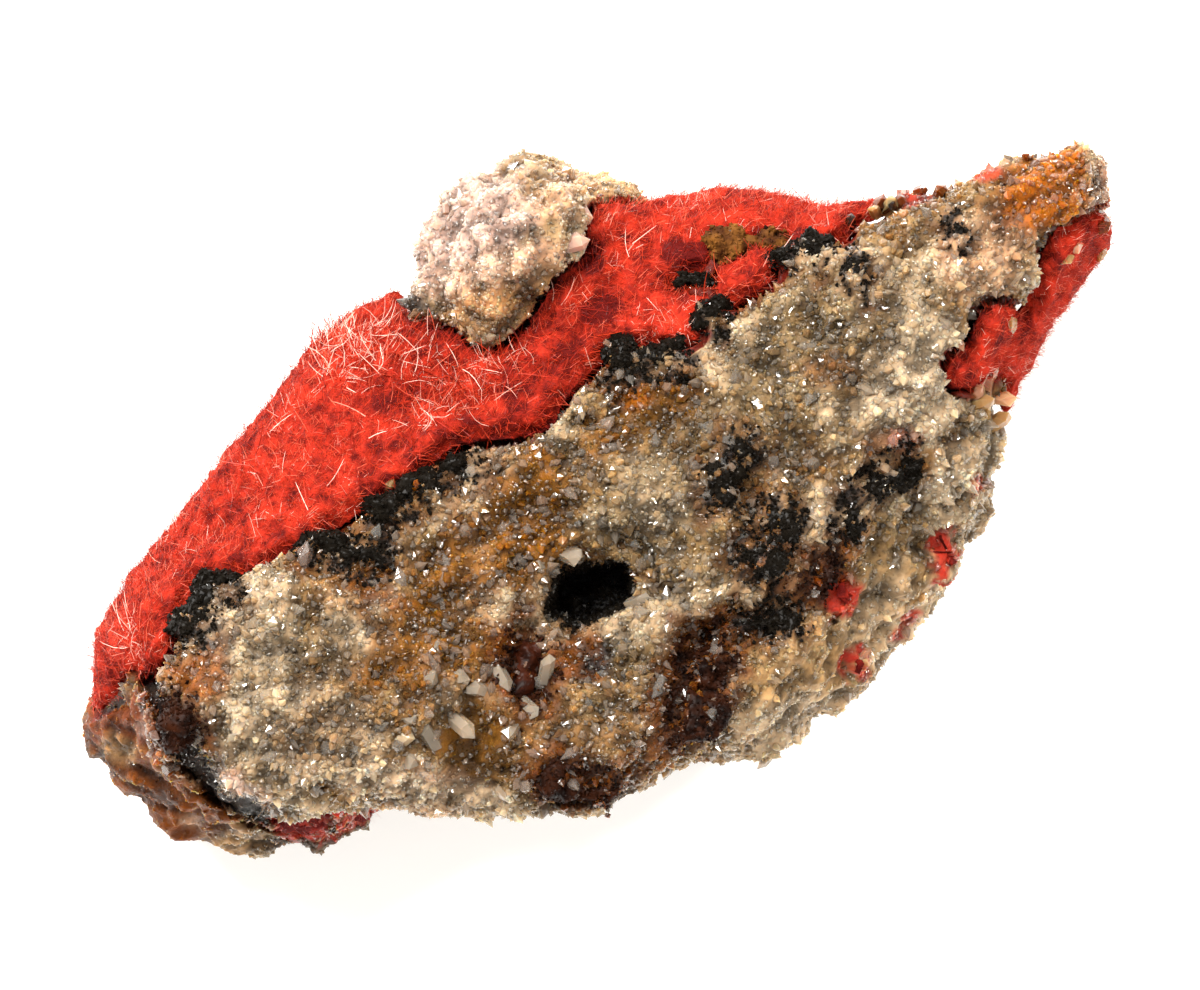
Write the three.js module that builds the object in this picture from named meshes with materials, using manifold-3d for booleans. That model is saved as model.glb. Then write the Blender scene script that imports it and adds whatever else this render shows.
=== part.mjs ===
// Chalcotrichite on druzy quartz: a hand specimen of vein quartz whose upper left ledge carries a felt of
// hair-fine red chalcotrichite, with clumps of black tenorite and crusts of brown goethite in its pockets.
// Millimetres, +Z up. The specimen lies on its broken back, broad crystal face up. X runs along its longer
// side, Y across it, and the origin is the middle of its bounding box on the ground.
import * as THREE from "three";
import { ImprovedNoise } from "three/addons/math/ImprovedNoise.js";
import { mergeVertices } from "three/addons/utils/BufferGeometryUtils.js";
import Module from "manifold-3d";

// ---- Driving dimensions -------------------------------------------------------------------------------
const FACET = 1.47; // edge length of a facet of the rock
const EASE = 4; // weight of a point of the rock's grid against one neighbour, when the grid is eased
const WALL_OUT = 0.35; // how far the wall is moved out, to make up for what the easing takes off it
const GAP = 0.3; // clearance between a mineral and the quartz that holds it
const FACE_HEIGHT = 13.0; // the broad crystal face above the ground
const SKY = 18.0; // above every point of the specimen
const UNDERCUT = 3.4; // how far the foot of the wall stands in from the widest outline
const BREAKS = { size: 5.5, depth: 2.3 }; // hollows broken out of the wall
const RIM_ROUND = 1.2; // rounding between the wall and the upper surface
const LUMP_ROUND = 0.8; // rounding where two lumps of the upper surface meet
const CLIFF = 2.2; // fall of a lump's side for each millimetre outwards
const COARSE_GRAIN = { size: 5.5, height: 0.4 }; // swells of the broken rock
const FINE_GRAIN = { size: 1.9, height: 0.3 }; // groups of quartz points
const FELT_DEPTH = 1.2; // thickness of the chalcotrichite felt
const BED_GAP = 0.5; // clearance under a felt, more than GAP because both surfaces are faceted
const HEM = { height: 5.4, wander: 2.6, size: 4.0, fringe: 1.6 }; // the felt's ragged lower edge on the wall

// Outline of the whole specimen seen from above, counter-clockwise from its right tip: x, y, and the height
// at which the wall is widest there.
const OUTLINE = [
  [19.6, 11.0, 8.0], [19.5, 12.2, 9.0], [18.4, 13.4, 10.0], [17.0, 13.6, 10.5], [14.7, 13.0, 10.0],
  [13.2, 12.1, 10.0], [11.4, 11.8, 10.0], [10.0, 11.3, 9.5], [8.2, 11.2, 9.0], [6.2, 11.6, 8.5],
  [3.9, 11.7, 8.0], [2.5, 10.9, 7.5], [1.5, 11.4, 6.5], [0.0, 12.0, 6.0], [-2.7, 12.7, 6.0],
  [-5.2, 11.9, 6.5], [-6.5, 11.0, 7.5], [-7.1, 9.0, 8.0], [-7.6, 7.9, 7.5], [-8.2, 7.8, 7.0],
  [-10.8, 6.4, 7.0], [-11.4, 5.2, 7.0], [-12.9, 2.8, 7.0], [-15.2, 0.0, 6.5], [-16.8, -2.1, 6.0],
  [-18.4, -3.9, 5.5], [-19.5, -6.6, 5.0], [-19.6, -9.9, 4.5], [-18.3, -10.6, 4.0], [-17.2, -12.5, 3.5],
  [-15.1, -13.7, 3.0], [-12.3, -13.7, 3.0], [-10.4, -13.0, 3.5], [-9.2, -11.8, 5.5], [-6.7, -11.3, 10.0],
  [-4.4, -12.4, 10.5], [-2.5, -11.9, 10.5], [-0.7, -12.0, 10.0], [1.1, -11.0, 9.5], [4.3, -9.5, 8.0],
  [5.6, -9.6, 6.0], [7.6, -8.4, 5.5], [9.6, -7.0, 5.5], [11.5, -5.1, 5.5], [13.3, -2.4, 5.5],
  [13.9, -1.1, 6.0], [15.0, 0.5, 7.0], [15.4, 2.2, 7.5], [14.9, 3.4, 8.0], [15.8, 5.1, 8.0],
  [16.7, 6.9, 7.5], [18.5, 8.7, 7.0], [18.7, 10.1, 7.5],
];

// Lumps of the upper surface. Each is a tilted mesa: an outline seen from above, the height of its plane at
// one point, the plane's rise for each millimetre in X and Y, and the width of its rounded edge, with how far
// the plane has fallen at the outline.
const LUMPS = [
  {
    name: "crystal face",
    outline: [
      [-16.6, -7.2], [-16.0, -5.1], [-14.9, -3.8], [-13.7, -2.7], [-11.4, -2.0], [-8.8, -3.0],
      [-7.6, -1.5], [-5.1, 0.9], [-4.4, 2.0], [-1.3, 3.4], [1.2, 4.2], [3.2, 5.0], [5.3, 7.6],
      [7.4, 8.4], [8.8, 9.6], [9.7, 10.6], [13.3, 11.9], [17.0, 13.5], [18.9, 12.6], [19.2, 11.2],
      [17.0, 10.0], [16.2, 8.8], [15.2, 7.7], [12.9, 5.3], [14.3, 3.0], [12.4, 2.2], [10.3, 0.8],
      [9.4, -1.5], [7.0, -5.0], [5.0, -5.8], [4.2, -9.3], [0.5, -11.3], [-2.5, -11.7], [-4.4, -12.2],
      [-6.7, -11.1], [-11.5, -11.2], [-14.0, -10.9], [-15.9, -9.2],
    ],
    at: [0, 0], height: FACE_HEIGHT, slope: [-0.03, -0.02], edge: 1.1, fall: 0.5,
  },
  {
    name: "right flank",
    outline: [
      [4.4, -5.0], [9.0, -1.0], [10.0, 1.5], [13.0, 3.4], [14.4, 2.6], [15.0, 0.0], [13.4, -2.6],
      [11.0, -5.6], [8.5, -8.0], [5.6, -9.6], [4.2, -9.4],
    ],
    at: [8.6, -2.6], height: 11.6, slope: [-0.62, 0.42], edge: 1.2, fall: 0.5,
  },
  {
    name: "left ledge under the felt",
    outline: [
      [-19.2, -7.6], [-18.6, -4.4], [-15.4, -0.4], [-13.1, 2.6], [-11.4, 5.9], [-8.2, 7.6],
      [-3.0, 6.6], [0.0, 5.5], [-4.0, 0.0], [-13.0, -4.0], [-17.0, -7.5],
    ],
    at: [-6.0, 2.0], height: 11.5, slope: [0.27, -0.36], edge: 1.2, fall: 0.5,
  },
  {
    name: "upper ledge under the felt",
    outline: [
      [-2.5, 3.5], [-2.8, 6.4], [-0.6, 9.0], [2.6, 10.8], [4.0, 11.5], [8.2, 11.2], [10.4, 11.2],
      [9.5, 8.5], [4.0, 5.0],
    ],
    at: [2.5, 6.0], height: 11.4, slope: [0.08, -0.34], edge: 1.0, fall: 0.45,
  },
  {
    name: "knob",
    outline: [
      [-7.0, 7.4], [-6.9, 9.5], [-6.3, 11.0], [-4.9, 11.9], [-2.6, 12.3], [-1.2, 11.0], [-0.6, 9.9],
      [-1.2, 8.6], [-2.2, 7.2], [-3.4, 6.2], [-5.4, 6.4],
    ],
    at: [-3.8, 9.0], height: 14.6, slope: [0.0, 0.02], edge: 3.4, fall: 2.6,
  },
  {
    name: "lobe behind the knob",
    outline: [[-3.0, 11.0], [-2.6, 12.7], [0.0, 12.1], [1.6, 11.5], [2.2, 10.4], [0.2, 9.4], [-2.0, 9.6]],
    at: [-0.4, 11.0], height: 9.2, slope: [-0.1, -0.5], edge: 1.4, fall: 0.6,
  },
  {
    name: "ledge of the right vein",
    outline: [
      [13.0, 4.6], [12.6, 5.6], [15.0, 8.0], [16.4, 10.2], [18.8, 10.8], [18.6, 8.9], [16.6, 6.8],
      [15.8, 4.8], [14.6, 2.0],
    ],
    at: [15.0, 7.0], height: 10.5, slope: [-0.35, 0.1], edge: 0.9, fall: 0.4,
  },
  {
    name: "right outcrop",
    outline: [[13.2, 3.6], [14.8, 3.9], [15.6, 2.2], [15.0, 0.2], [13.6, -1.6], [12.4, 0.4]],
    at: [14.2, 1.5], height: 9.0, slope: [-0.4, 0.2], edge: 1.0, fall: 0.45,
  },
  {
    name: "foot",
    outline: [
      [-19.4, -6.4], [-16.4, -6.6], [-13.0, -9.5], [-8.8, -10.6], [-9.4, -12.0], [-10.6, -13.2],
      [-12.6, -13.8], [-15.2, -13.7], [-17.3, -12.4], [-18.4, -10.6], [-19.6, -9.8],
    ],
    at: [-15.0, -11.0], height: 6.2, slope: [-0.1, 0.35], edge: 1.5, fall: 0.7,
  },
];

// Swells and hollows of the upper surface: centre, half-widths and turn seen from above, and height.
const SWELLS = [
  { name: "left bulge of the face", at: [-12.0, -6.8], half: [4.2, 3.4], turn: 20, height: 0.9 },
  { name: "bulge below the vug", at: [0.6, -7.4], half: [2.4, 2.0], turn: 0, height: 0.8 },
  { name: "bulge above the vug", at: [1.2, -0.6], half: [3.0, 2.2], turn: 30, height: 0.7 },
  { name: "bulge of the upper face", at: [9.2, 6.2], half: [4.5, 2.8], turn: 40, height: 0.6 },
  { name: "trough across the face", at: [-5.6, -3.4], half: [1.5, 4.2], turn: -35, height: -0.7 },
  { name: "vug", at: [-0.7, -3.7], half: [2.2, 1.5], turn: 35, height: -4.4 },
  { name: "red-lined pocket", at: [-3.0, -6.3], half: [0.9, 1.5], turn: 12, height: -1.8 },
  { name: "bare hollow", at: [-5.6, -10.0], half: [2.2, 1.3], turn: 25, height: -1.2 },
  { name: "crease beside the flank", at: [6.6, -3.0], half: [0.9, 4.0], turn: -35, height: -1.1 },
  { name: "foot pit", at: [-14.4, -9.9], half: [1.0, 1.0], turn: 0, height: -1.2 },
  { name: "dip of the felt beside the knob", at: [-0.4, 7.2], half: [1.0, 1.6], turn: -25, height: -0.8 },
];

// Felts of chalcotrichite. One on the ledges is given by its outline seen from above, and hangs over the wall
// where it passes the specimen's outline. One on the wall is given by lobes, each a centre and half-widths.
const FELTS = [
  {
    name: "chalcotrichite_main_felt",
    outline: [
      [-19.5, -7.9], [-18.5, -7.0], [-18.0, -6.1], [-17.1, -6.3], [-16.5, -5.5], [-15.8, -4.0],
      [-15.4, -3.1], [-13.3, -2.5], [-11.5, -1.6], [-9.6, -0.4], [-7.7, 0.8], [-6.2, 1.8], [-5.1, 2.4],
      [-2.5, 2.7], [-1.9, 3.6], [-1.0, 4.6], [0.1, 5.8], [1.3, 6.1], [2.8, 5.7], [4.1, 6.9], [5.0, 7.6],
      [6.1, 8.1], [6.8, 8.9], [8.8, 9.8], [9.2, 10.5], [10.3, 10.9], [10.4, 12.5], [3.5, 13.0],
      [2.0, 11.4], [1.4, 10.7], [-0.2, 10.8], [-0.6, 10.0], [-0.3, 9.5], [-0.8, 8.8], [-1.7, 8.0],
      [-2.1, 7.2], [-2.9, 6.1], [-4.0, 5.3], [-5.1, 5.3], [-5.9, 6.1], [-7.5, 6.5], [-7.9, 8.0],
      [-8.6, 9.4], [-12.4, 7.6], [-16.5, 1.5], [-20.5, -3.0], [-21.2, -6.5],
    ],
  },
  {
    name: "chalcotrichite_right_vein",
    outline: [
      [16.5, 9.0], [17.1, 9.9], [18.8, 10.7], [18.9, 9.8], [18.3, 9.1], [17.6, 8.1], [18.2, 6.8],
      [17.0, 4.5], [15.7, 2.9], [14.9, 3.2], [15.1, 4.4], [14.6, 4.9], [14.1, 4.4], [12.9, 4.4],
      [12.8, 5.0], [13.7, 5.7], [14.2, 7.0], [15.0, 7.1], [15.5, 6.7], [16.1, 7.6],
    ],
  },
  {
    name: "chalcotrichite_foot_tuft",
    lobes: [
      { at: [-10.9, -12.2, 8.0], half: [1.9, 2.0, 1.9] },
      { at: [-9.6, -11.9, 7.0], half: [1.5, 2.0, 2.2] },
    ],
  },
];

// Clumps grown in pockets of the quartz: overlapping lobes, each with a centre and half-widths seen from
// above.
const TENORITE = { colour: 0x101216, roughness: 0.35 };
const GOETHITE = { colour: 0x4a2210, roughness: 0.45 };
const CHALCOTRICHITE = { colour: 0xc8261a, roughness: 0.8 };
const CLUMPS = [
  { name: "tenorite_left_seam", mineral: TENORITE, lobes: [[-15.2, -4.6, 0.9, 1.3], [-14.3, -3.5, 1.2, 0.9]] },
  { name: "tenorite_contact_left", mineral: TENORITE, lobes: [[-10.5, -1.9, 1.2, 1.0], [-9.1, -2.3, 1.3, 1.0]] },
  {
    name: "tenorite_contact_middle", mineral: TENORITE,
    lobes: [[-8.0, -0.3, 1.1, 0.8], [-6.7, 0.5, 1.2, 0.8], [-5.4, 1.2, 0.9, 0.7]],
  },
  { name: "tenorite_contact_right", mineral: TENORITE, lobes: [[0.7, 5.1, 1.0, 1.1], [2.1, 5.2, 1.2, 0.9]] },
  { name: "tenorite_step", mineral: TENORITE, lobes: [[4.1, 6.7, 0.8, 0.9]] },
  { name: "tenorite_in_felt", mineral: TENORITE, lobes: [[3.3, 8.1, 1.1, 0.7]] },
  { name: "tenorite_crest", mineral: TENORITE, lobes: [[6.8, 8.9, 1.0, 0.6], [8.1, 9.2, 1.0, 0.7]] },
  { name: "tenorite_upper_face", mineral: TENORITE, lobes: [[9.4, 8.2, 0.6, 1.0]] },
  { name: "tenorite_near_tip", mineral: TENORITE, lobes: [[13.0, 9.9, 0.6, 0.8]] },
  { name: "tenorite_face_upper", mineral: TENORITE, lobes: [[5.1, 1.5, 0.7, 1.1], [4.4, 0.4, 0.9, 0.9]] },
  { name: "tenorite_face_middle", mineral: TENORITE, lobes: [[6.3, -0.9, 1.1, 0.9], [5.8, -2.1, 1.0, 1.0]] },
  { name: "tenorite_face_right", mineral: TENORITE, lobes: [[11.0, 1.3, 0.8, 1.2], [10.0, 0.7, 0.9, 0.7]] },
  { name: "tenorite_face_grain", mineral: TENORITE, lobes: [[9.0, -0.7, 0.6, 0.9]] },
  { name: "tenorite_crease", mineral: TENORITE, lobes: [[5.6, -4.6, 1.0, 0.7], [6.7, -4.3, 0.8, 0.7]] },
  { name: "tenorite_vug_lining", mineral: TENORITE, lobes: [[-1.2, -4.0, 1.3, 1.1], [0.0, -3.3, 1.3, 1.1]] },
  { name: "goethite_crust", mineral: GOETHITE, lobes: [[3.6, -6.0, 1.0, 1.4], [3.3, -7.8, 1.3, 1.2]] },
  { name: "goethite_lower_edge", mineral: GOETHITE, lobes: [[-1.5, -10.5, 1.0, 1.0], [-0.4, -10.8, 1.0, 0.9]] },
  { name: "goethite_pocket", mineral: GOETHITE, lobes: [[-3.0, -6.4, 0.9, 1.4]] },
  { name: "goethite_left_edge", mineral: GOETHITE, lobes: [[-15.7, -8.2, 0.7, 1.1]] },
  { name: "goethite_in_felt", mineral: GOETHITE, lobes: [[4.8, 9.5, 1.1, 0.8], [6.1, 9.9, 1.0, 0.7]] },
  { name: "goethite_flank", mineral: GOETHITE, lobes: [[8.0, -2.9, 0.7, 1.0]] },
  { name: "chalcotrichite_flank_tuft", mineral: CHALCOTRICHITE, lobes: [[8.9, -3.8, 0.6, 0.5]] },
  { name: "chalcotrichite_edge_tuft", mineral: CHALCOTRICHITE, lobes: [[12.5, -2.2, 0.5, 0.9]] },
  { name: "chalcotrichite_low_tuft", mineral: CHALCOTRICHITE, lobes: [[9.4, -6.0, 0.6, 0.5]] },
];
const LOBE_THICKNESS = 0.75; // a lobe's half-height, as a share of its mean half-width
const LOBE_SINK = 0.25; // how far a lobe's middle lies under the surface, as a share of its half-height
const PEBBLE_LUMPS = 0.18; // relief of a lobe, as a share of its size

// ---- Plain mathematics --------------------------------------------------------------------------------
const noise = new ImprovedNoise();
const clamp = THREE.MathUtils.clamp;

// The larger of two values, blended smoothly where they differ by less than round.
function smoothMax(a, b, round) {
  const blend = Math.max(round - Math.abs(a - b), 0) / round;
  return Math.max(a, b) + (blend * blend * round) / 4;
}

// A closed smooth line through the given points, as short straight steps, counter-clockwise.
function smoothLoop(points) {
  const curve = new THREE.CatmullRomCurve3(
    points.map(([x, y, height = 0]) => new THREE.Vector3(x, y, height)),
    true,
    "centripetal",
  );
  const STEPS_FOR_EACH_POINT = 2;
  const loop = curve.getPoints(points.length * STEPS_FOR_EACH_POINT).slice(0, -1);
  return THREE.ShapeUtils.isClockWise(loop) ? loop.reverse() : loop;
}

// The nearest place of a closed line, seen from above: its height, and its distance, negative inside.
function nearestOn(loop, x, y) {
  let distance = Infinity;
  let height = 0;
  let inside = false;
  for (let i = 0, j = loop.length - 1; i < loop.length; j = i++) {
    const a = loop[j];
    const b = loop[i];
    const dx = b.x - a.x;
    const dy = b.y - a.y;
    const along = clamp(((x - a.x) * dx + (y - a.y) * dy) / (dx * dx + dy * dy), 0, 1);
    const here = Math.hypot(x - a.x - along * dx, y - a.y - along * dy);
    if (here < distance) {
      distance = here;
      height = a.z + along * (b.z - a.z);
    }
    if (a.y > y !== b.y > y && x < (dx * (y - a.y)) / dy + a.x) inside = !inside;
  }
  return { distance: inside ? -distance : distance, height };
}

// ---- Upper surface ------------------------------------------------------------------------------------
function lumpHeight(lump, x, y) {
  const plane = lump.height + lump.slope[0] * (x - lump.at[0]) + lump.slope[1] * (y - lump.at[1]);
  const distance = nearestOn(lump.loop, x, y).distance;
  const overEdge = Math.max(distance + lump.edge, 0) / lump.edge;
  return plane - lump.fall * overEdge * overEdge - CLIFF * Math.max(distance, 0);
}

function swellHeight(swell, x, y) {
  const turn = THREE.MathUtils.degToRad(swell.turn);
  const dx = x - swell.at[0];
  const dy = y - swell.at[1];
  const across = (dx * Math.cos(turn) + dy * Math.sin(turn)) / swell.half[0];
  const along = (dy * Math.cos(turn) - dx * Math.sin(turn)) / swell.half[1];
  return swell.height * Math.exp(-(across * across + along * along));
}

function upperHeight(x, y) {
  const lumps = LUMPS.map((lump) => lumpHeight(lump, x, y));
  const swells = SWELLS.map((swell) => swellHeight(swell, x, y));
  return lumps.reduce((a, b) => smoothMax(a, b, LUMP_ROUND)) + swells.reduce((a, b) => a + b);
}

// ---- The specimen as a field: negative inside, about the distance in millimetres ----------------------
const outlineLoop = smoothLoop(OUTLINE);
LUMPS.forEach((lump) => (lump.loop = smoothLoop(lump.outline)));

// What the field needs from a point seen from above, worked out once for each column of heights.
function columnAt(x, y) {
  const STEP = 0.25;
  const height = upperHeight(x, y);
  const slopeX = (upperHeight(x + STEP, y) - upperHeight(x - STEP, y)) / (2 * STEP);
  const slopeY = (upperHeight(x, y + STEP) - upperHeight(x, y - STEP)) / (2 * STEP);
  const wall = nearestOn(outlineLoop, x, y);
  const steepness = Math.hypot(1, slopeX, slopeY);
  return { x, y, height, steepness, wall: wall.distance - WALL_OUT, waist: wall.height };
}

function grain({ size, height }, { x, y }, z) {
  return height * noise.noise(x / size + 7.3, y / size + 3.1, z / size + 5.7);
}

function wallSetback(column, z) {
  const below = Math.max(1 - z / column.waist, 0);
  const away = clamp(Math.abs(z - column.waist) / 3, 0, 1);
  const broken = Math.abs(noise.noise(column.x / BREAKS.size, column.y / BREAKS.size, z / BREAKS.size));
  return UNDERCUT * below * below + 2 * BREAKS.depth * broken * away;
}

function specimenField(column, z) {
  const top = (z - column.height) / column.steepness;
  const wall = column.wall + wallSetback(column, z);
  return smoothMax(top, wall, RIM_ROUND) + grain(COARSE_GRAIN, column, z) + grain(FINE_GRAIN, column, z);
}

// ---- Solids -------------------------------------------------------------------------------------------
const wasm = await Module();
wasm.setup();

function solidFrom(vertices, triangles) {
  return new wasm.Manifold(
    new wasm.Mesh({
      numProp: 3,
      vertProperties: new Float32Array(vertices),
      triVerts: new Uint32Array(triangles),
    }),
  );
}

function solidOf(geometry) {
  geometry.deleteAttribute("normal");
  geometry.deleteAttribute("uv");
  const merged = mergeVertices(geometry, 1e-4);
  return solidFrom(merged.attributes.position.array, merged.index.array);
}

function geometryOf(solid) {
  const { vertProperties, triVerts } = solid.getMesh();
  const geometry = new THREE.BufferGeometry();
  geometry.setAttribute("position", new THREE.BufferAttribute(new Float32Array(vertProperties), 3));
  geometry.setIndex(new THREE.BufferAttribute(new Uint32Array(triVerts), 1));
  geometry.computeVertexNormals();
  return geometry;
}

// The specimen's surface as a closed net: one vertex in each grid cell that the surface passes through, and
// one quad across each grid edge that it cuts. insetAt gives how far inwards the surface moves at a point.
function specimenNet(insetAt) {
  const cell = FACET;
  const low = [-24, -18, -3 * cell];
  const high = [24, 18, SKY];
  const count = low.map((start, axis) => Math.ceil((high[axis] - start) / cell) + 1);
  const index = (i, j, k) => i + count[0] * (j + count[1] * k);
  const values = new Float32Array(count[0] * count[1] * count[2]);
  for (let j = 0; j < count[1]; j++)
    for (let i = 0; i < count[0]; i++) {
      const column = columnAt(low[0] + i * cell, low[1] + j * cell);
      for (let k = 0; k < count[2]; k++) {
        const z = low[2] + k * cell;
        const floor = -1.5 * cell - z; // closes the net under the ground, where it is cut flat later
        values[index(i, j, k)] = Math.max(specimenField(column, z) + insetAt(column, z), floor);
      }
    }

  // Each value is eased towards its neighbours, which clears away features thinner than a cell.
  const strides = [1, count[0], count[0] * count[1]];
  for (const stride of strides) {
    const sharp = values.slice();
    for (let n = stride; n < values.length - stride; n++)
      values[n] = (sharp[n - stride] + EASE * sharp[n] + sharp[n + stride]) / (EASE + 2);
  }

  const CORNERS = [0, 1, 2, 3, 4, 5, 6, 7].map((n) => [n & 1, (n >> 1) & 1, n >> 2]);
  const EDGES = [0, 1, 2].flatMap((axis) =>
    CORNERS.map((c, n) => [n, n | (1 << axis)]).filter(([a, b]) => a !== b),
  );
  const vertices = [];
  const vertexOfCell = new Map();
  for (let k = 0; k < count[2] - 1; k++)
    for (let j = 0; j < count[1] - 1; j++)
      for (let i = 0; i < count[0] - 1; i++) {
        const at = CORNERS.map(([a, b, c]) => values[index(i + a, j + b, k + c)]);
        const sum = [0, 0, 0];
        let crossings = 0;
        for (const [a, b] of EDGES) {
          if (at[a] < 0 === at[b] < 0) continue;
          const share = at[a] / (at[a] - at[b]);
          for (let axis = 0; axis < 3; axis++)
            sum[axis] += CORNERS[a][axis] + share * (CORNERS[b][axis] - CORNERS[a][axis]);
          crossings++;
        }
        if (!crossings) continue;
        vertexOfCell.set(index(i, j, k), vertices.length / 3);
        [i, j, k].forEach((n, axis) => vertices.push(low[axis] + cell * (n + sum[axis] / crossings)));
      }

  const apart = (a, b) =>
    Math.hypot(...[0, 1, 2].map((axis) => vertices[3 * a + axis] - vertices[3 * b + axis]));
  const triangles = [];
  for (let k = 1; k < count[2] - 1; k++)
    for (let j = 1; j < count[1] - 1; j++)
      for (let i = 1; i < count[0] - 1; i++)
        for (let axis = 0; axis < 3; axis++) {
          const next = [i, j, k];
          next[axis]++;
          const inside = values[index(i, j, k)] < 0;
          if (inside === values[index(...next)] < 0) continue;
          const cellAt = (back1, back2) => {
            const cellIndex = [i, j, k];
            cellIndex[(axis + 1) % 3] -= back1;
            cellIndex[(axis + 2) % 3] -= back2;
            return vertexOfCell.get(index(...cellIndex));
          };
          const quad = [cellAt(0, 0), cellAt(1, 0), cellAt(1, 1), cellAt(0, 1)];
          if (!inside) quad.reverse();
          const [a, b, c, d] = quad;
          if (apart(a, c) < apart(b, d)) triangles.push(a, b, c, a, c, d);
          else triangles.push(a, b, d, b, c, d);
        }
  return solidFrom(vertices, triangles);
}

// The column of space over an outline, grown outwards by grow, from the ground up to the sky.
function columnOver(outline, grow) {
  const loop = smoothLoop(outline);
  const moved = loop
    .map(({ x, y }, i) => {
      const before = loop[(i + loop.length - 1) % loop.length];
      const after = loop[(i + 1) % loop.length];
      const length = Math.hypot(after.x - before.x, after.y - before.y);
      return new THREE.Vector2(
        x + (grow * (after.y - before.y)) / length,
        y - (grow * (after.x - before.x)) / length,
      );
    })
    .filter(({ x, y }) => nearestOn(loop, x, y).distance > 0.9 * grow - 0.01); // no fold in a notch
  return solidOf(new THREE.ExtrudeGeometry(new THREE.Shape(moved), { depth: SKY, bevelEnabled: false }));
}

const aboveGround = columnOver([[-30, -30], [30, -30], [30, 30], [-30, 30]], 0);
const specimen = specimenNet(() => 0).intersect(aboveGround);
const specimenMesh = new THREE.Mesh(geometryOf(specimen));

// The height of the specimen's surface over a point, found by looking down from above.
function surfaceHeight(x, y) {
  const down = new THREE.Raycaster(new THREE.Vector3(x, y, SKY), new THREE.Vector3(0, 0, -1));
  return down.intersectObject(specimenMesh)[0].point.z;
}

// A lumpy pebble, every half-width grown by grow. detail splits its facets.
function pebbleSolid([x, y, z], half, grow, detail) {
  const pebble = new THREE.IcosahedronGeometry(1, detail);
  const position = pebble.attributes.position;
  const point = new THREE.Vector3();
  for (let i = 0; i < position.count; i++) {
    point.fromBufferAttribute(position, i);
    point.multiplyScalar(1 + PEBBLE_LUMPS * noise.noise(2 * point.x + x, 2 * point.y + y, 2 * point.z));
    position.setXYZ(i, point.x, point.y, point.z);
  }
  return solidOf(pebble.scale(...half.map((width) => width + grow)).translate(x, y, z));
}

const joined = (solids) => solids.reduce((a, b) => a.add(b));

// A clump grown by grow: its lobes sit half sunk in the surface under them.
function clumpSolid(clump, grow) {
  const lobes = clump.lobes.map(([x, y, halfX, halfY]) => {
    const halfZ = (LOBE_THICKNESS * (halfX + halfY)) / 2;
    const z = surfaceHeight(x, y) - LOBE_SINK * halfZ;
    return pebbleSolid([x, y, z], [halfX, halfY, halfZ], grow, 0);
  });
  return joined(lobes);
}

// The space that a felt may fill, grown by grow.
function feltSpace(felt, grow) {
  if (felt.outline) return columnOver(felt.outline, grow);
  return joined(felt.lobes.map((lobe) => pebbleSolid(lobe.at, lobe.half, grow, 1)));
}

// How deep the felt goes at a point: its full depth on the ledges, and out to nothing at its hem on the wall.
function feltDepth({ x, y }, z) {
  const hem = HEM.height + HEM.wander * noise.noise(x / HEM.size, y / HEM.size, 0.5);
  return FELT_DEPTH * clamp((z - hem) / HEM.fringe, -1, 1);
}

const pockets = joined(CLUMPS.map((clump) => clumpSolid(clump, GAP)));
const underFelt = specimenNet(feltDepth);
const underBed = specimenNet((column, z) => feltDepth(column, z + BED_GAP) + BED_GAP);
const feltBeds = joined(FELTS.map((felt) => feltSpace(felt, GAP)));

const quartz = specimen.subtract(feltBeds.subtract(underBed)).subtract(pockets);
const feltSolid = (felt) => specimen.intersect(feltSpace(felt, 0)).subtract(underFelt).subtract(pockets);

// ---- The scene graph ----------------------------------------------------------------------------------
const largest = (solid) =>
  solid.decompose().reduce((a, b) => (a.volume() > b.volume() ? a : b));

function mesh(name, solid, { colour, roughness }) {
  const material = new THREE.MeshStandardMaterial({ color: colour, roughness, metalness: 0 });
  const made = new THREE.Mesh(geometryOf(largest(solid)), material);
  made.name = name;
  return made;
}

const group = new THREE.Group();
group.name = "chalcotrichite_on_quartz";
group.add(mesh("quartz_matrix", quartz, { colour: 0xcfc4b2, roughness: 0.35 }));
FELTS.forEach((felt) => group.add(mesh(felt.name, feltSolid(felt), CHALCOTRICHITE)));
CLUMPS.forEach((clump) => group.add(mesh(clump.name, clumpSolid(clump, 0), clump.mineral)));

const box = new THREE.Box3().setFromObject(group);
const centre = box.getCenter(new THREE.Vector3());
group.position.set(-centre.x, -centre.y, 0);

export default group;
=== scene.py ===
# %% [markdown]
# # Chalcotrichite on druzy quartz
# The specimen is a wedge of vein quartz a few centimetres long. Its broad face and its knob are coated with
# small quartz crystals, a felt of hair-fine red chalcotrichite covers the ledges at its upper left, and black
# tenorite and brown goethite fill its pockets. The CAD model gives the shape and place of every mineral as
# closed faceted solids. This script grows the fine surface over them, in metres and in the same frame.
#
# The order is the one in which nature worked: first the rock, then its stains, then the crystals of each
# mineral. Everything small is scattered by Geometry Nodes and made a real mesh, so that it survives export.

import math

import bmesh
import bpy
import numpy as np
from mathutils import Matrix, Vector, bvhtree, noise


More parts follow.
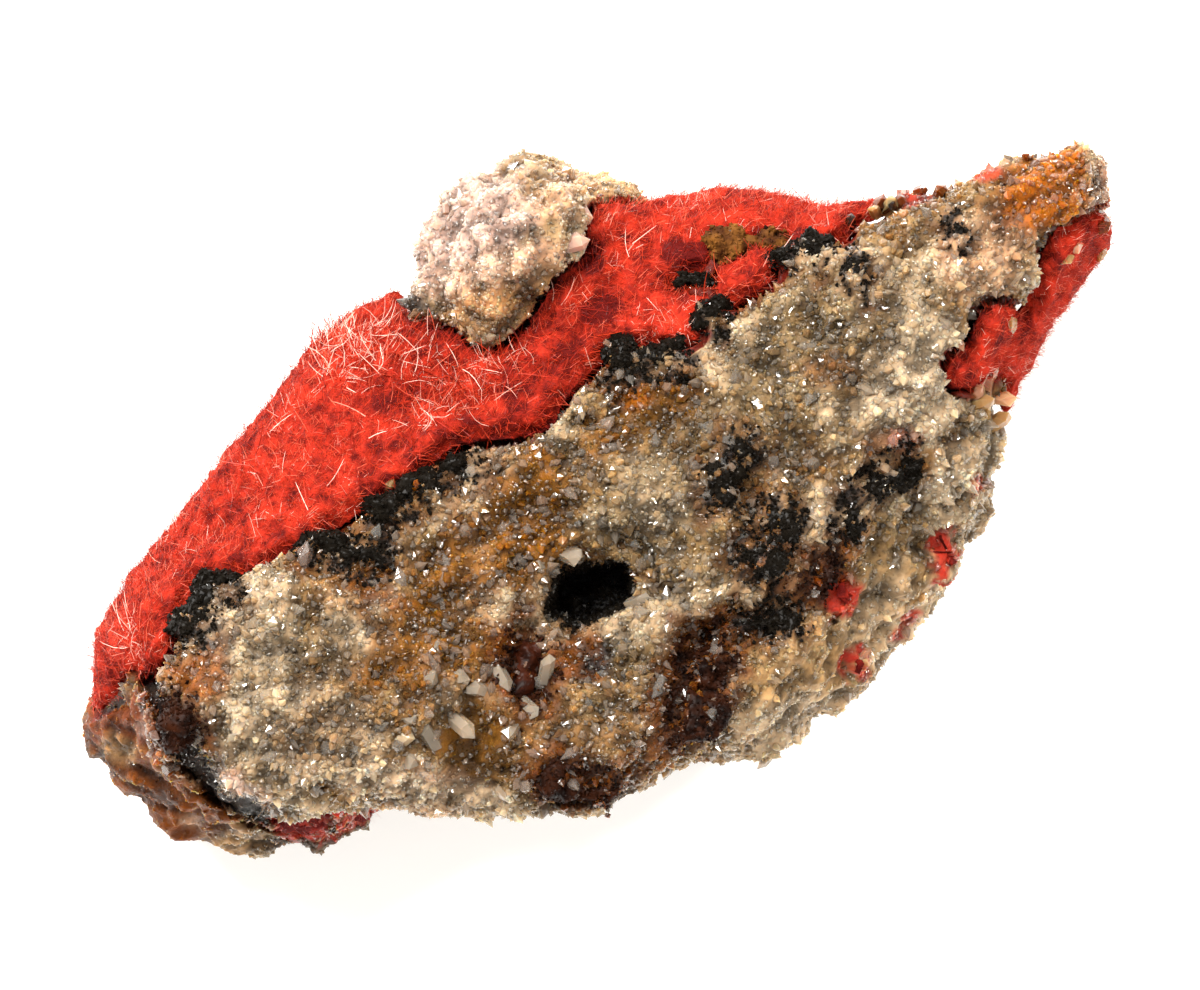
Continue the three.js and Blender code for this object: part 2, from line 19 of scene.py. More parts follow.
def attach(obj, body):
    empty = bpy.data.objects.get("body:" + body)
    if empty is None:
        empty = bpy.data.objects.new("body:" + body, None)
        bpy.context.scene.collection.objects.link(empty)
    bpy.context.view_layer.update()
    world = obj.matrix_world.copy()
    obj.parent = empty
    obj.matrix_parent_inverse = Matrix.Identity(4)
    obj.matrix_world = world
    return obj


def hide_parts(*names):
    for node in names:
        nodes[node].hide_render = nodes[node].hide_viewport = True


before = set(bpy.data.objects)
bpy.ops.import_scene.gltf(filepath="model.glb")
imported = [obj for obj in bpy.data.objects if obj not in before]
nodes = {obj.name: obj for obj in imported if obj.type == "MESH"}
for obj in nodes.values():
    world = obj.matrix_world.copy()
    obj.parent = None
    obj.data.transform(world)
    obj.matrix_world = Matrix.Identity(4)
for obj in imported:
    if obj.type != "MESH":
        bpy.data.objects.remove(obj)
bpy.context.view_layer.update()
MM = 0.001
scene = bpy.context.scene

# %% [markdown]
# ## Camera, light and floor
# A specimen like this is looked at from straight above, with a long lens so that its outline isn't bent. The
# light is a big soft window from the upper left, and three small weak lamps whose only job is to make facets
# sparkle. Small lamps alone would give hard shadows, and soft light alone would leave the crystals dull.

# %% Camera
VIEW_WIDTH = 44.8 * MM  # how much the lens takes in from left to right at the height of the face
VIEW_CENTRE = (0.1 * MM, 0.39 * MM)
CAMERA_HEIGHT = 500 * MM
FACE_HEIGHT = 11 * MM

camera_data = bpy.data.cameras.new("camera")
camera_data.lens = camera_data.sensor_width * (CAMERA_HEIGHT - FACE_HEIGHT) / VIEW_WIDTH
camera_data.clip_start = 5 * MM
camera = bpy.data.objects.new("camera", camera_data)
camera.location = (*VIEW_CENTRE, CAMERA_HEIGHT)
scene.collection.objects.link(camera)
scene.camera = camera
print("lens, mm:", round(camera_data.lens, 1))

# %% Light
WORLD_LIGHT = 0.5
WORLD_COLOUR = (1.0, 0.99, 0.97, 1)
scene.view_settings.view_transform = "Standard"
scene.cycles.max_bounces = 10
scene.cycles.transmission_bounces = 8

world = bpy.data.worlds.new("studio")
world.use_nodes = True
background = world.node_tree.nodes["Background"].inputs
background["Color"].default_value = WORLD_COLOUR
background["Strength"].default_value = WORLD_LIGHT
scene.world = world


def area_light(name, place, size, power, colour):
    """A square lamp, placed and sized in millimetres, that faces the specimen."""
    data = bpy.data.lights.new(name, "AREA")
    data.size = size * MM
    data.energy = power
    data.color = colour
    lamp = bpy.data.objects.new(name, data)
    lamp.location = Vector(place) * MM
    lamp.rotation_euler = (-lamp.location).to_track_quat("-Z", "Y").to_euler()
    scene.collection.objects.link(lamp)


SPARKLE = (1.0, 0.97, 0.9)
LAMPS = (  # name, place and size in millimetres, power in watts, colour
    ("window", (-170, 200, 240), 150, 2.9, (1.0, 0.98, 0.95)),
    ("sparkle", (-60, 160, 300), 40, 0.8, SPARKLE),
    ("side_sparkle", (230, 120, 260), 40, 0.8, SPARKLE),
    ("low_sparkle", (60, -230, 260), 40, 0.6, SPARKLE),
)
for lamp in LAMPS:
    area_light(*lamp)

# %% Floor
FLOOR_HALF = 1.5  # metres from the middle to each side
corners = [(-1, -1), (1, -1), (1, 1), (-1, 1)]
floor_mesh = bpy.data.meshes.new("floor")
floor_mesh.from_pydata([(x * FLOOR_HALF, y * FLOOR_HALF, 0) for x, y in corners], [], [(0, 1, 2, 3)])
floor = bpy.data.objects.new("floor", floor_mesh)
scene.collection.objects.link(floor)
print("floor, m:", 2 * FLOOR_HALF, "square")

# %% [markdown]
# ## Materials
# Each mineral gets one node material. The colour of a stain comes from a colour attribute that is painted on
# the rock further down, together with painted shade in the crevices, in the gap between the face and the foot
# and under the felt, and every crystal takes it over from the spot where it grows. So a stain runs on through
# rock and crystals alike, as iron-bearing water left it. A second attribute, tone, is a random number for
# each crystal or hair with painted light added, and keeps neighbours from looking the same.

# %% Material helpers


def new_material(name, **sockets):
    """A Principled material with constant values on the named sockets, and its node tree."""
    material = bpy.data.materials.new(name)
    material.use_nodes = True
    shader = material.node_tree.nodes["Principled BSDF"]
    for socket, value in sockets.items():
        shader.inputs[socket.replace("_", " ")].default_value = value
    return material, material.node_tree


def add_node(tree, kind, inputs=None, **settings):
    """Adds a node, sets its properties, and links or fills its inputs by name or number."""
    node = tree.nodes.new(kind)
    for setting, value in settings.items():
        setattr(node, setting, value)
    for socket, value in (inputs or {}).items():
        if isinstance(value, bpy.types.NodeSocket):
            tree.links.new(value, node.inputs[socket])
        else:
            node.inputs[socket].default_value = value
    return node


def attribute(tree, name):
    """A node that reads what is stored on the mesh under a name."""
    return add_node(tree, "ShaderNodeAttribute", attribute_name=name)


def mottle(tree, size, detail=4.0):
    """Noise on Object coordinates, with spots of about the given size in metres."""
    place = add_node(tree, "ShaderNodeTexCoord").outputs["Object"]
    inputs = {"Vector": place, "Scale": 1 / size, "Detail": detail}
    return add_node(tree, "ShaderNodeTexNoise", inputs).outputs["Fac"]


def ranged(tree, value, *limits):
    """Maps value from the first two limits to the last two."""
    inputs = {"Value": value}
    inputs.update(zip(("From Min", "From Max", "To Min", "To Max"), limits))
    return add_node(tree, "ShaderNodeMapRange", inputs).outputs["Result"]


def mixed(tree, share, first, second, blend="MIX"):
    """A colour mix; a share of 0 gives the first colour."""
    inputs = {0: share, 6: first, 7: second}
    return add_node(tree, "ShaderNodeMix", inputs, data_type="RGBA", blend_type=blend).outputs[2]


def coloured(tree, colour):
    """Links a colour to the shader of a material's tree."""
    tree.links.new(colour, tree.nodes["Principled BSDF"].inputs["Base Color"])


def roughen(tree, height, strength, depth):
    """Gives the shader of a material's tree a bump of the given depth in metres."""
    inputs = {"Height": height, "Strength": strength, "Distance": depth}
    bump = add_node(tree, "ShaderNodeBump", inputs)
    tree.links.new(bump.outputs["Normal"], tree.nodes["Principled BSDF"].inputs["Normal"])


print("materials so far:", len(bpy.data.materials))

# %% [markdown]
# ### Rock
# Massive quartz is pale and a little translucent: light enters it and leaves again a fraction of a
# millimetre away. Scattering under the surface does that. Full transmission would show whatever lies behind,
# and the rock is not that clear. Coarse noise varies the tone, and fine noise gives it grain.

# %% Floor and rock
QUARTZ_IOR = 1.54
GLOW = {  # light that enters milky quartz and leaves it again a fraction of a millimetre away
    "Subsurface_Radius": (1.0, 0.8, 0.6),
    "Subsurface_Scale": 0.6 * MM,
}
TABLE_LIGHT = 0.3  # a lit table, so that shadows stay pale


def floor_material():
    """A pale matt table."""
    material, tree = new_material(
        "pale_floor",
        Base_Color=(0.94, 0.94, 0.935, 1),
        Roughness=0.9,
        Emission_Color=(1, 1, 1, 1),
        Emission_Strength=TABLE_LIGHT,
    )
    roughen(tree, mottle(tree, 1 * MM), 0.05, 0.1 * MM)
    return material


def rock_material():
    """Massive quartz under the crystals: stained and painted with shade, a little waxy, with cracks and
    grains.
    """
    material, tree = new_material(
        "massive_quartz",
        Roughness=0.45,
        IOR=QUARTZ_IOR,
        Subsurface_Weight=0.6,
        Specular_IOR_Level=0.1,
        **GLOW,
    )
    tone = ranged(tree, mottle(tree, 1.2 * MM), 0.3, 0.7, 0.5, 0.85)
    coloured(tree, mixed(tree, 1.0, attribute(tree, "stain_and_shade").outputs["Color"], tone, "MULTIPLY"))
    roughen(tree, mottle(tree, 0.25 * MM, 6.0), 0.9, 0.12 * MM)
    return material


floor_mesh.materials.append(floor_material())
ROCK = rock_material()
print("made:", floor_mesh.materials[0].name, ROCK.name)

# %% [markdown]
# ### Crystals
# Quartz crystals run from clear to milky, and their faces are glossy. Transmission lets light through them,
# and scattering inside makes them milky, so four mixtures of the two serve the whole specimen. Cells of a
# Voronoi pattern break up the reflections, as the steps on real faces do.

# %% Crystals
PURE_QUARTZ = (0.93, 0.88, 0.80, 1)
FACET_SIZE = 0.16 * MM


def crystal_material(name, clarity, milkiness, roughness, gloss, darkest, palest, purity, etching):
    """Quartz of a given clarity, which lets light through, and milkiness, which scatters it inside.
    Darkest and palest say by how much a crystal dims or brightens the stain and painted shade under it,
    purity how far it is free of them, and etching how deep the small facets on its faces are."""
    material, tree = new_material(
        name,
        Roughness=roughness,
        IOR=QUARTZ_IOR,
        Transmission_Weight=clarity,
        Specular_IOR_Level=gloss,
        Subsurface_Weight=milkiness,
        **GLOW,
    )
    tone = ranged(tree, attribute(tree, "tone").outputs["Fac"], 0.0, 1.0, darkest, palest)
    stain_and_shade = mixed(tree, 1.0, attribute(tree, "stain_and_shade").outputs["Color"], tone, "MULTIPLY")
    coloured(tree, mixed(tree, purity, stain_and_shade, PURE_QUARTZ))
    place = add_node(tree, "ShaderNodeTexCoord").outputs["Object"]
    facets = add_node(tree, "ShaderNodeTexVoronoi", {"Vector": place, "Scale": 1 / FACET_SIZE})
    roughen(tree, facets.outputs["Distance"], etching, 0.05 * MM)
    return material


QUARTZES = (  # name, clarity, milkiness, roughness, gloss, darkest, palest, purity, etching
    ("clear_quartz", 0.65, 0.8, 0.05, 0.6, 1.0, 1.45, 0.15, 0.1),
    ("glassy_quartz", 0.8, 0.5, 0.04, 0.7, 1.1, 1.6, 0.35, 0.1),
    ("stained_quartz", 0.1, 0.5, 0.4, 0.03, 0.6, 1.15, 0.0, 0.25),
    ("milky_quartz", 0.35, 1.0, 0.12, 0.4, 0.92, 1.2, 0.0, 0.1),
)
CLEAR, GLASSY, DULL, MILKY = (crystal_material(*row) for row in QUARTZES)
print("made:", [material.name for material in (CLEAR, GLASSY, DULL, MILKY)])

# %% [markdown]
# ### Felt and hair
# Chalcotrichite is scarlet where light falls on its hairs and nearly black between them. So the ground is
# painted dark as that shade, and each hair takes its colour from its tone through a ramp, from deep red in
# shade to the painted pink highlight of a hair that reflects a lamp. The tone is random, with painted light
# and shade added.
# One red for all of them would look like cloth.

# %% Felt and hair
# painted shade and light: the felt ground runs from dark red in shade to lit red
FELT_SHADED = (0.08, 0.003, 0.002, 1)
FELT_LIT = (0.42, 0.022, 0.008, 1)
# painted shade and highlight: the darkest hair stands for shade, the palest for a hair that reflects a lamp
HAIR_SHADED = (0.09, 0.004, 0.003, 1)
HAIR_HIGHLIGHT = (0.96, 0.60, 0.50, 1)
HAIR_STOPS = (  # tone, colour between the shaded hair and the painted highlight
    (0.3, (0.36, 0.014, 0.004, 1)),
    (0.75, (0.55, 0.044, 0.013, 1)),
    (0.92, (0.76, 0.16, 0.09, 1)),
)


def felt_material():
    """The matted ground of the felt, seen between its hairs: painted dark red as the shade between them, and
    lighter where the stored painted light is high, with a random mottle.
    """
    material, tree = new_material("chalcotrichite_ground", Roughness=0.8, Specular_IOR_Level=0.1)
    light = attribute(tree, "light").outputs["Fac"]
    patches = add_node(tree, "ShaderNodeMath", {0: mottle(tree, 0.5 * MM), 1: light}, operation="ADD")
    shade = ranged(tree, patches.outputs[0], 0.3, 0.7, 0.0, 1.0)
    coloured(tree, mixed(tree, shade, FELT_SHADED, FELT_LIT))
    roughen(tree, mottle(tree, 0.12 * MM, 6.0), 0.9, 0.06 * MM)
    return material


def hair_material():
    """Hairs of chalcotrichite: scarlet, with some that catch the light pink or nearly white."""
    material, tree = new_material(
        "chalcotrichite_hair", Roughness=0.4, Transmission_Weight=0.1, Specular_IOR_Level=0.15
    )
    ramp = add_node(tree, "ShaderNodeValToRGB", {"Fac": attribute(tree, "tone").outputs["Fac"]})
    stops = ramp.color_ramp.elements
    stops[0].color = HAIR_SHADED
    stops[1].color = HAIR_HIGHLIGHT
    for tone, colour in HAIR_STOPS:
        stops.new(tone).color = colour
    coloured(tree, ramp.outputs["Color"])
    return material


FELT = felt_material()
HAIR = hair_material()
print("made:", FELT.name, HAIR.name)

# %% [markdown]
# ### Tenorite and goethite
# Tenorite is black with a dull lustre, and goethite is brown to ochre. Both are opaque, so two colours in
# patches and a bump of grain are enough, and one function makes them all.

# %% Tenorite and goethite


def earthy_material(name, roughness, dark, light, patch, limits, grain, strength, depth):
    """A dark mineral with patches of two colours, and a grain on its surface. Sizes in millimetres."""
    material, tree = new_material(name, Roughness=roughness, Specular_IOR_Level=0.05)
    patches = mottle(tree, patch * MM)
    if limits:
        patches = ranged(tree, patches, *limits, 0.0, 1.0)
    coloured(tree, mixed(tree, patches, (*dark, 1), (*light, 1)))
    roughen(tree, mottle(tree, grain * MM), strength, depth * MM)
    return material


def goethite_material(name, roughness, dark, light):
    """A brown mineral in two colours."""
    return earthy_material(name, roughness, dark, light, 0.7, (0.35, 0.7), 0.2, 0.6, 0.05)


TENORITE = earthy_material(
    "tenorite", 0.3, (0.002, 0.0016, 0.0012), (0.008, 0.006, 0.004), 0.6, None, 0.15, 0.4, 0.03
)
GOETHITE = goethite_material("goethite", 0.42, (0.004, 0.0015, 0.001), (0.026, 0.007, 0.0025))
OCHREOUS = goethite_material("ochreous_goethite", 0.6, (0.03, 0.008, 0.002), (0.17, 0.065, 0.012))
LUSTROUS = goethite_material("lustrous_goethite", 0.35, (0.008, 0.002, 0.001), (0.045, 0.010, 0.004))
print("materials made:", len(bpy.data.materials))

# %% [markdown]
# ## The rock
# The CAD solids keep a gap of about 0.3 mm where two minerals meet, and real ones have none. Swelling all the
# solids by more than half that gap, remeshing them into one skin and shrinking the skin again closes the gaps
# and keeps the outline. The skin is drawn in a little further, because the crystals stand on it and their
# tips have to reach the surface of the CAD model. The two large felts are left out of it, so that the rock
# has a basin for each of them, while the rock runs on under the small tufts.

# %% Mesh helpers


def coordinates(mesh):
    """The place of each vertex, a row each."""
    found = np.empty(len(mesh.vertices) * 3)
    mesh.vertices.foreach_get("co", found)
    return found.reshape(-1, 3)


def move_to(mesh, places):
    """Puts the vertices of a mesh at new places."""
    mesh.vertices.foreach_set("co", places.ravel())
    mesh.update()


def outward(mesh):
    """The outward direction at each vertex."""
    found = np.empty(len(mesh.vertices) * 3)
    mesh.vertices.foreach_get("normal", found)
    return found.reshape(-1, 3)


def linked(name, mesh):
    """A new object of a mesh in the scene."""
    made = bpy.data.objects.new(name, mesh)
    scene.collection.objects.link(made)
    return made


def welded_copy(names):
    """One mesh of the named CAD nodes, with the corners that neighbouring triangles share merged."""
    work = bmesh.new()
    for name in names:
        work.from_mesh(nodes[name].data)
    bmesh.ops.remove_doubles(work, verts=work.verts, dist=0.001 * MM)
    mesh = bpy.data.meshes.new("welded")
    work.to_mesh(mesh)
    work.free()
    return mesh


def baked(thing):
    """The mesh of an object with its modifiers applied. The object itself is removed."""
    graph = bpy.context.evaluated_depsgraph_get()
    mesh = bpy.data.meshes.new_from_object(
        thing.evaluated_get(graph), preserve_all_data_layers=True, depsgraph=graph
    )
    bpy.data.objects.remove(thing)
    return mesh


def modified(mesh, *steps):
    """The mesh after a chain of modifiers, each a kind and its settings."""
    thing = linked("work", mesh)
    for kind, settings in steps:
        modifier = thing.modifiers.new(kind.lower(), kind)
        for setting, value in settings.items():
            setattr(modifier, setting, value)
    return baked(thing)


def surfaced(mesh, material):
    """The mesh with one material only and smooth shading."""
    mesh.materials.clear()
    mesh.materials.append(material)
    mesh.shade_smooth()
    return mesh


def remesh(voxel):
    """A step that builds the mesh anew from voxels of a size in metres."""
    return "REMESH", {"mode": "VOXEL", "voxel_size": voxel}


def swell(distance):
    """A step that moves the surface outwards, or inwards where the distance is negative."""
    return "DISPLACE", {"strength": distance, "mid_level": 0.0}


print("CAD nodes to start from:", len(nodes))

# %% Weld and swell the solids into one skin
SWELL = 0.32 * MM
VOXEL = 0.22 * MM
CRYSTAL_ROOM = 0.08 * MM  # depth left under the CAD surface for the crystals
FLECKS = ("flank_tuft", "edge_tuft", "low_tuft", "foot_tuft")  # tufts under which the rock runs on
felts = sorted(n for n in nodes if n.startswith("chalcotrichite") and not n.endswith(FLECKS))
skin = modified(
    welded_copy(sorted(set(nodes) - set(felts))),
    remesh(VOXEL),
    swell(SWELL),
    remesh(VOXEL),
    ("SMOOTH", {"iterations": 2, "factor": 0.5}),
    swell(-SWELL - CRYSTAL_ROOM),
)
print("skin:", len(skin.vertices), "vertices")

# %% [markdown]
# ### Relief
# Broken and leached quartz is lumpy at every size. Three sheets of noise, with lumps of 2.6, 1.1 and 0.5 mm,
# push the skin in and out. The hollows of the face are then sunk as soft ovals, and the vug as a well with
# five flat walls, the faces of a crystal that was dissolved. It is done here on the vertices, and not with a
# bump, because the crystals that grow on the skin must follow it.

# %% Push the skin in and out
X, Y, Z = range(3)
LUMPS = (  # size, height, seed
    (2.6 * MM, 0.50 * MM, 11.0),
    (1.1 * MM, 0.38 * MM, 23.0),
    (0.5 * MM, 0.16 * MM, 29.0),
)
VUG_CENTRE = (-0.3, -3.2)
VUG_SIDES = (  # which way each wall faces in degrees, how far it is from the centre
    (96, 1.0),
    (11, 1.6),
    (-64, 1.1),
    (-113, 1.45),
    (168, 1.35),
)
VUG_DEPTH = 2.2 * MM
HOLLOWS = (  # x, y, half length, half width, turn in degrees, depth
    (-2.6, -5.9, 0.8, 1.4, 10, 0.9),
    (3.6, -6.3, 0.9, 2.1, 10, 0.8),
    (5.6, -4.5, 2.6, 0.7, 15, 0.9),
    (-0.8, -10.4, 1.5, 0.8, 0, 0.6),
    (-4.7, -9.6, 1.6, 1.5, 0, 0.7),
    (-3.6, -1.6, 2.4, 1.2, 50, 0.5),
    (5.6, 1.0, 1.0, 1.3, 0, 0.5),
    (10.8, 1.4, 1.4, 0.9, 30, 0.4),
    (-12.2, -5.6, 0.9, 1.4, 40, 0.4),
    (2.2, 3.4, 2.2, 0.9, 15, 0.5),
)


def noise_at(points, size, seed, octaves=3):
    """Noise of about -1 to 1 at each point, with lumps of the given size. Each seed gives other lumps."""
    shift = Vector((seed, seed * 0.37, -seed))
    return np.array([noise.fractal(Vector(p) / size + shift, 1.0, 2.0, octaves) for p in points])


def relief(mesh, lumps):
    """Moves the vertices of a mesh along their normals by layers of noise, and returns how far."""
    points = coordinates(mesh)
    moved = sum(noise_at(points, size, seed) * height for size, height, seed in lumps)
    points += outward(mesh) * moved[:, None]
    move_to(mesh, points)
    return moved


def smooth(low, high, values):
    """A smooth step from 0 at low to 1 at high; low may be the larger."""
    share = np.clip((values - low) / (high - low), 0, 1)
    return share * share * (3 - 2 * share)


def step_along(axis, low, high, places):
    """A smooth step from 0 at low to 1 at high, in millimetres along an axis."""
    return smooth(low, high, places[:, axis] / MM)


def oval(places, x, y, half_length, half_width, turn, fray, soft=0.7):
    """1 inside a frayed oval on the front of the specimen and 0 outside it, in millimetres."""
    angle = math.radians(turn)
    dx, dy = places[:, X] / MM - x, places[:, Y] / MM - y
    along = (dx * math.cos(angle) + dy * math.sin(angle)) / half_length
    across = (dy * math.cos(angle) - dx * math.sin(angle)) / half_width
    reach = (along**2 + across**2) ** 0.5
    return smooth(1 + soft / 2, 1 - soft / 2, reach * (1 + 0.45 * fray))


def ovals(places, rows, fray):
    """1 inside any of a table of frayed ovals."""
    return np.clip(sum(oval(places, *row, fray) for row in rows), 0, 1)


def vug_share(places, fray):
    """1 inside the vug, which flat faces bound, and 0 outside it."""
    dx, dy = places[:, X] / MM - VUG_CENTRE[0], places[:, Y] / MM - VUG_CENTRE[1]
    angles = [math.radians(angle) for angle, _ in VUG_SIDES]
    reach = [dx * math.cos(a) + dy * math.sin(a) - far for a, (_, far) in zip(angles, VUG_SIDES)]
    return smooth(0.12, -0.12, np.max(reach, axis=0) + 0.12 * fray)


def carve(mesh):
    """Sinks the hollows of the face into a mesh, and flattens what lies under the resting plane."""
    places = coordinates(mesh)
    fray = noise_at(places, 1.1 * MM, 3.0)
    high_up = step_along(Z, 2.0, 5.0, places)
    places[:, Z] -= vug_share(places, fray) * high_up * VUG_DEPTH
    for *place, depth in HOLLOWS:
        places[:, Z] -= oval(places, *place, fray, 0.9) * high_up * depth * MM
    places[:, Z] = np.maximum(places[:, Z], 0)
    move_to(mesh, places)


raised = relief(skin, LUMPS) / MM
carve(skin)
print("rock, mm:", (np.ptp(coordinates(skin), axis=0) / MM).round(2))

# %% [markdown]
# ## Which mineral is where
# The CAD nodes know where each mineral lies. For each vertex of the skin the distance to the nearest solid of
# each kind is measured, and noise is added so that the borders come out ragged. These distances steer both
# the stains and the growth of crystals. The skin also makes room here for the felt, and is sunk along the
# dark gap that parts the foot from the face.

# %% Distance from the skin to each mineral


def surface_of(names):
    """A search tree of the named CAD nodes' triangles."""
    mesh = welded_copy(names)
    corners = [vertex.co.copy() for vertex in mesh.vertices]
    return bvhtree.BVHTree.FromPolygons(corners, [tuple(face.vertices) for face in mesh.polygons])


def named(prefix):
    """The names of the CAD nodes that start with a mineral's name."""
    return sorted(name for name in nodes if name.startswith(prefix))


def distance_to(names, places):
    """Millimetres from each place to the nearest of the named nodes."""
    tree = surface_of(names)
    return np.array([tree.find_nearest(Vector(p))[3] for p in places]) / MM


points = coordinates(skin)
facing = outward(skin)
to_felt = distance_to(felts, points)
to_fleck = distance_to(sorted(set(named("chalcotrichite")) - set(felts)), points)
NARROW = ("upper_face", "near_tip")  # tenorite that stains the quartz no wider than its clump
narrow = [name for name in named("tenorite") if name.endswith(NARROW)]
to_tenorite = distance_to(sorted(set(named("tenorite")) - set(narrow)), points)
to_tenorite = np.minimum(to_tenorite, distance_to(narrow, points) + 0.2)
to_goethite = distance_to(named("goethite"), points)
print("nearest tenorite and goethite, mm:", to_tenorite.min().round(2), to_goethite.min().round(2))

# %% What lies where, and room for the felt
UNDER_FELT = 0.1 * MM  # how much deeper the rock lies under the felt
GAP = (  # ground between the face and the foot, sunk and painted black as its shadow: x, y, half length, half width, turn
    (-16.5, -6.9, 0.9, 0.4, -60),
    (-15.5, -8.7, 1.2, 0.6, -60),
    (-14.7, -10.0, 1.2, 0.5, -50),
    (-13.0, -11.4, 1.6, 0.5, -28),
    (-17.6, -5.7, 0.7, 0.25, -60),
)
GAP_DEPTH = 1.3 * MM
ragged = noise_at(points, 0.7 * MM, 41.0)
felted = smooth(0.55, 0.4, to_felt + 0.1 * ragged)
specks = noise_at(points, 0.34 * MM, 43.0, 2)
sooty = smooth(0.3, 0.0, to_tenorite + 0.45 * ragged + 0.6 * specks)
flecked = smooth(0.4, 0.1, to_fleck + 0.35 * ragged + 0.4 * specks)
rusty = smooth(0.5, 0.1, to_goethite + 0.35 * ragged + 0.3 * specks)
rust_fringe = smooth(1.3, 0.3, to_goethite + 0.6 * ragged)
rust_fringe += 0.5 * smooth(1.0, 0.3, to_tenorite + 0.9 * ragged)
gap = ovals(points, GAP, ragged * 0.6)
gap *= step_along(Z, 13.4, 12.8, points) * step_along(Z, 4.0, 6.0, points)
points[:, Z] -= gap * GAP_DEPTH
points -= facing * (felted * (UNDER_FELT + np.maximum(raised, 0) * MM))[:, None]
move_to(skin, points)
print("share of the skin under felt:", felted.mean().round(3), "tenorite:", sooty.mean().round(3))

# %% [markdown]
# ## Stains
# The quartz itself is grey to milky. Iron has stained it golden, orange and rust-brown in patches, and dust
# of the copper oxides blackens it round the tenorite. A painter would block these in as soft ovals, so that
# is what the table holds: a colour, a place and a size in millimetres. Noise frays the edge of every oval. It
# would be possible to make the patches from noise alone, but then none would lie where the real ones do.
# Light and shade are painted into the same colours: the tops of clusters lighter and the crevices darker, the
# gap between the face and the foot black, and the rock under the felt darker.

# %% Colours of the stains
COLOURS = {
    "grey": (0.23, 0.134, 0.055),
    "milky": (0.50, 0.355, 0.22),
    "green_grey": (0.15, 0.090, 0.036),
    "golden": (0.155, 0.052, 0.002),
    "orange": (0.31, 0.075, 0.001),
    "tan": (0.35, 0.20, 0.08),
    "ochre": (0.12, 0.046, 0.004),
    "peach": (0.62, 0.34, 0.19),
    # lavender of the knob, also used as a painted highlight on the rim of the face
    "lavender_and_highlight": (0.58, 0.36, 0.28),
    "olive": (0.46, 0.21, 0.075),
    "pink": (0.42, 0.20, 0.12),
    "plum": (0.125, 0.026, 0.005),
    "amber": (0.14, 0.032, 0.001),
    "rust": (0.022, 0.006, 0.0015),
    # soot of the copper oxides, also used as painted shadow in the gap under the face
    "soot_and_shadow": (0.005, 0.004, 0.004),
    "blood": (0.44, 0.025, 0.010),
}
print("stains:", *COLOURS)

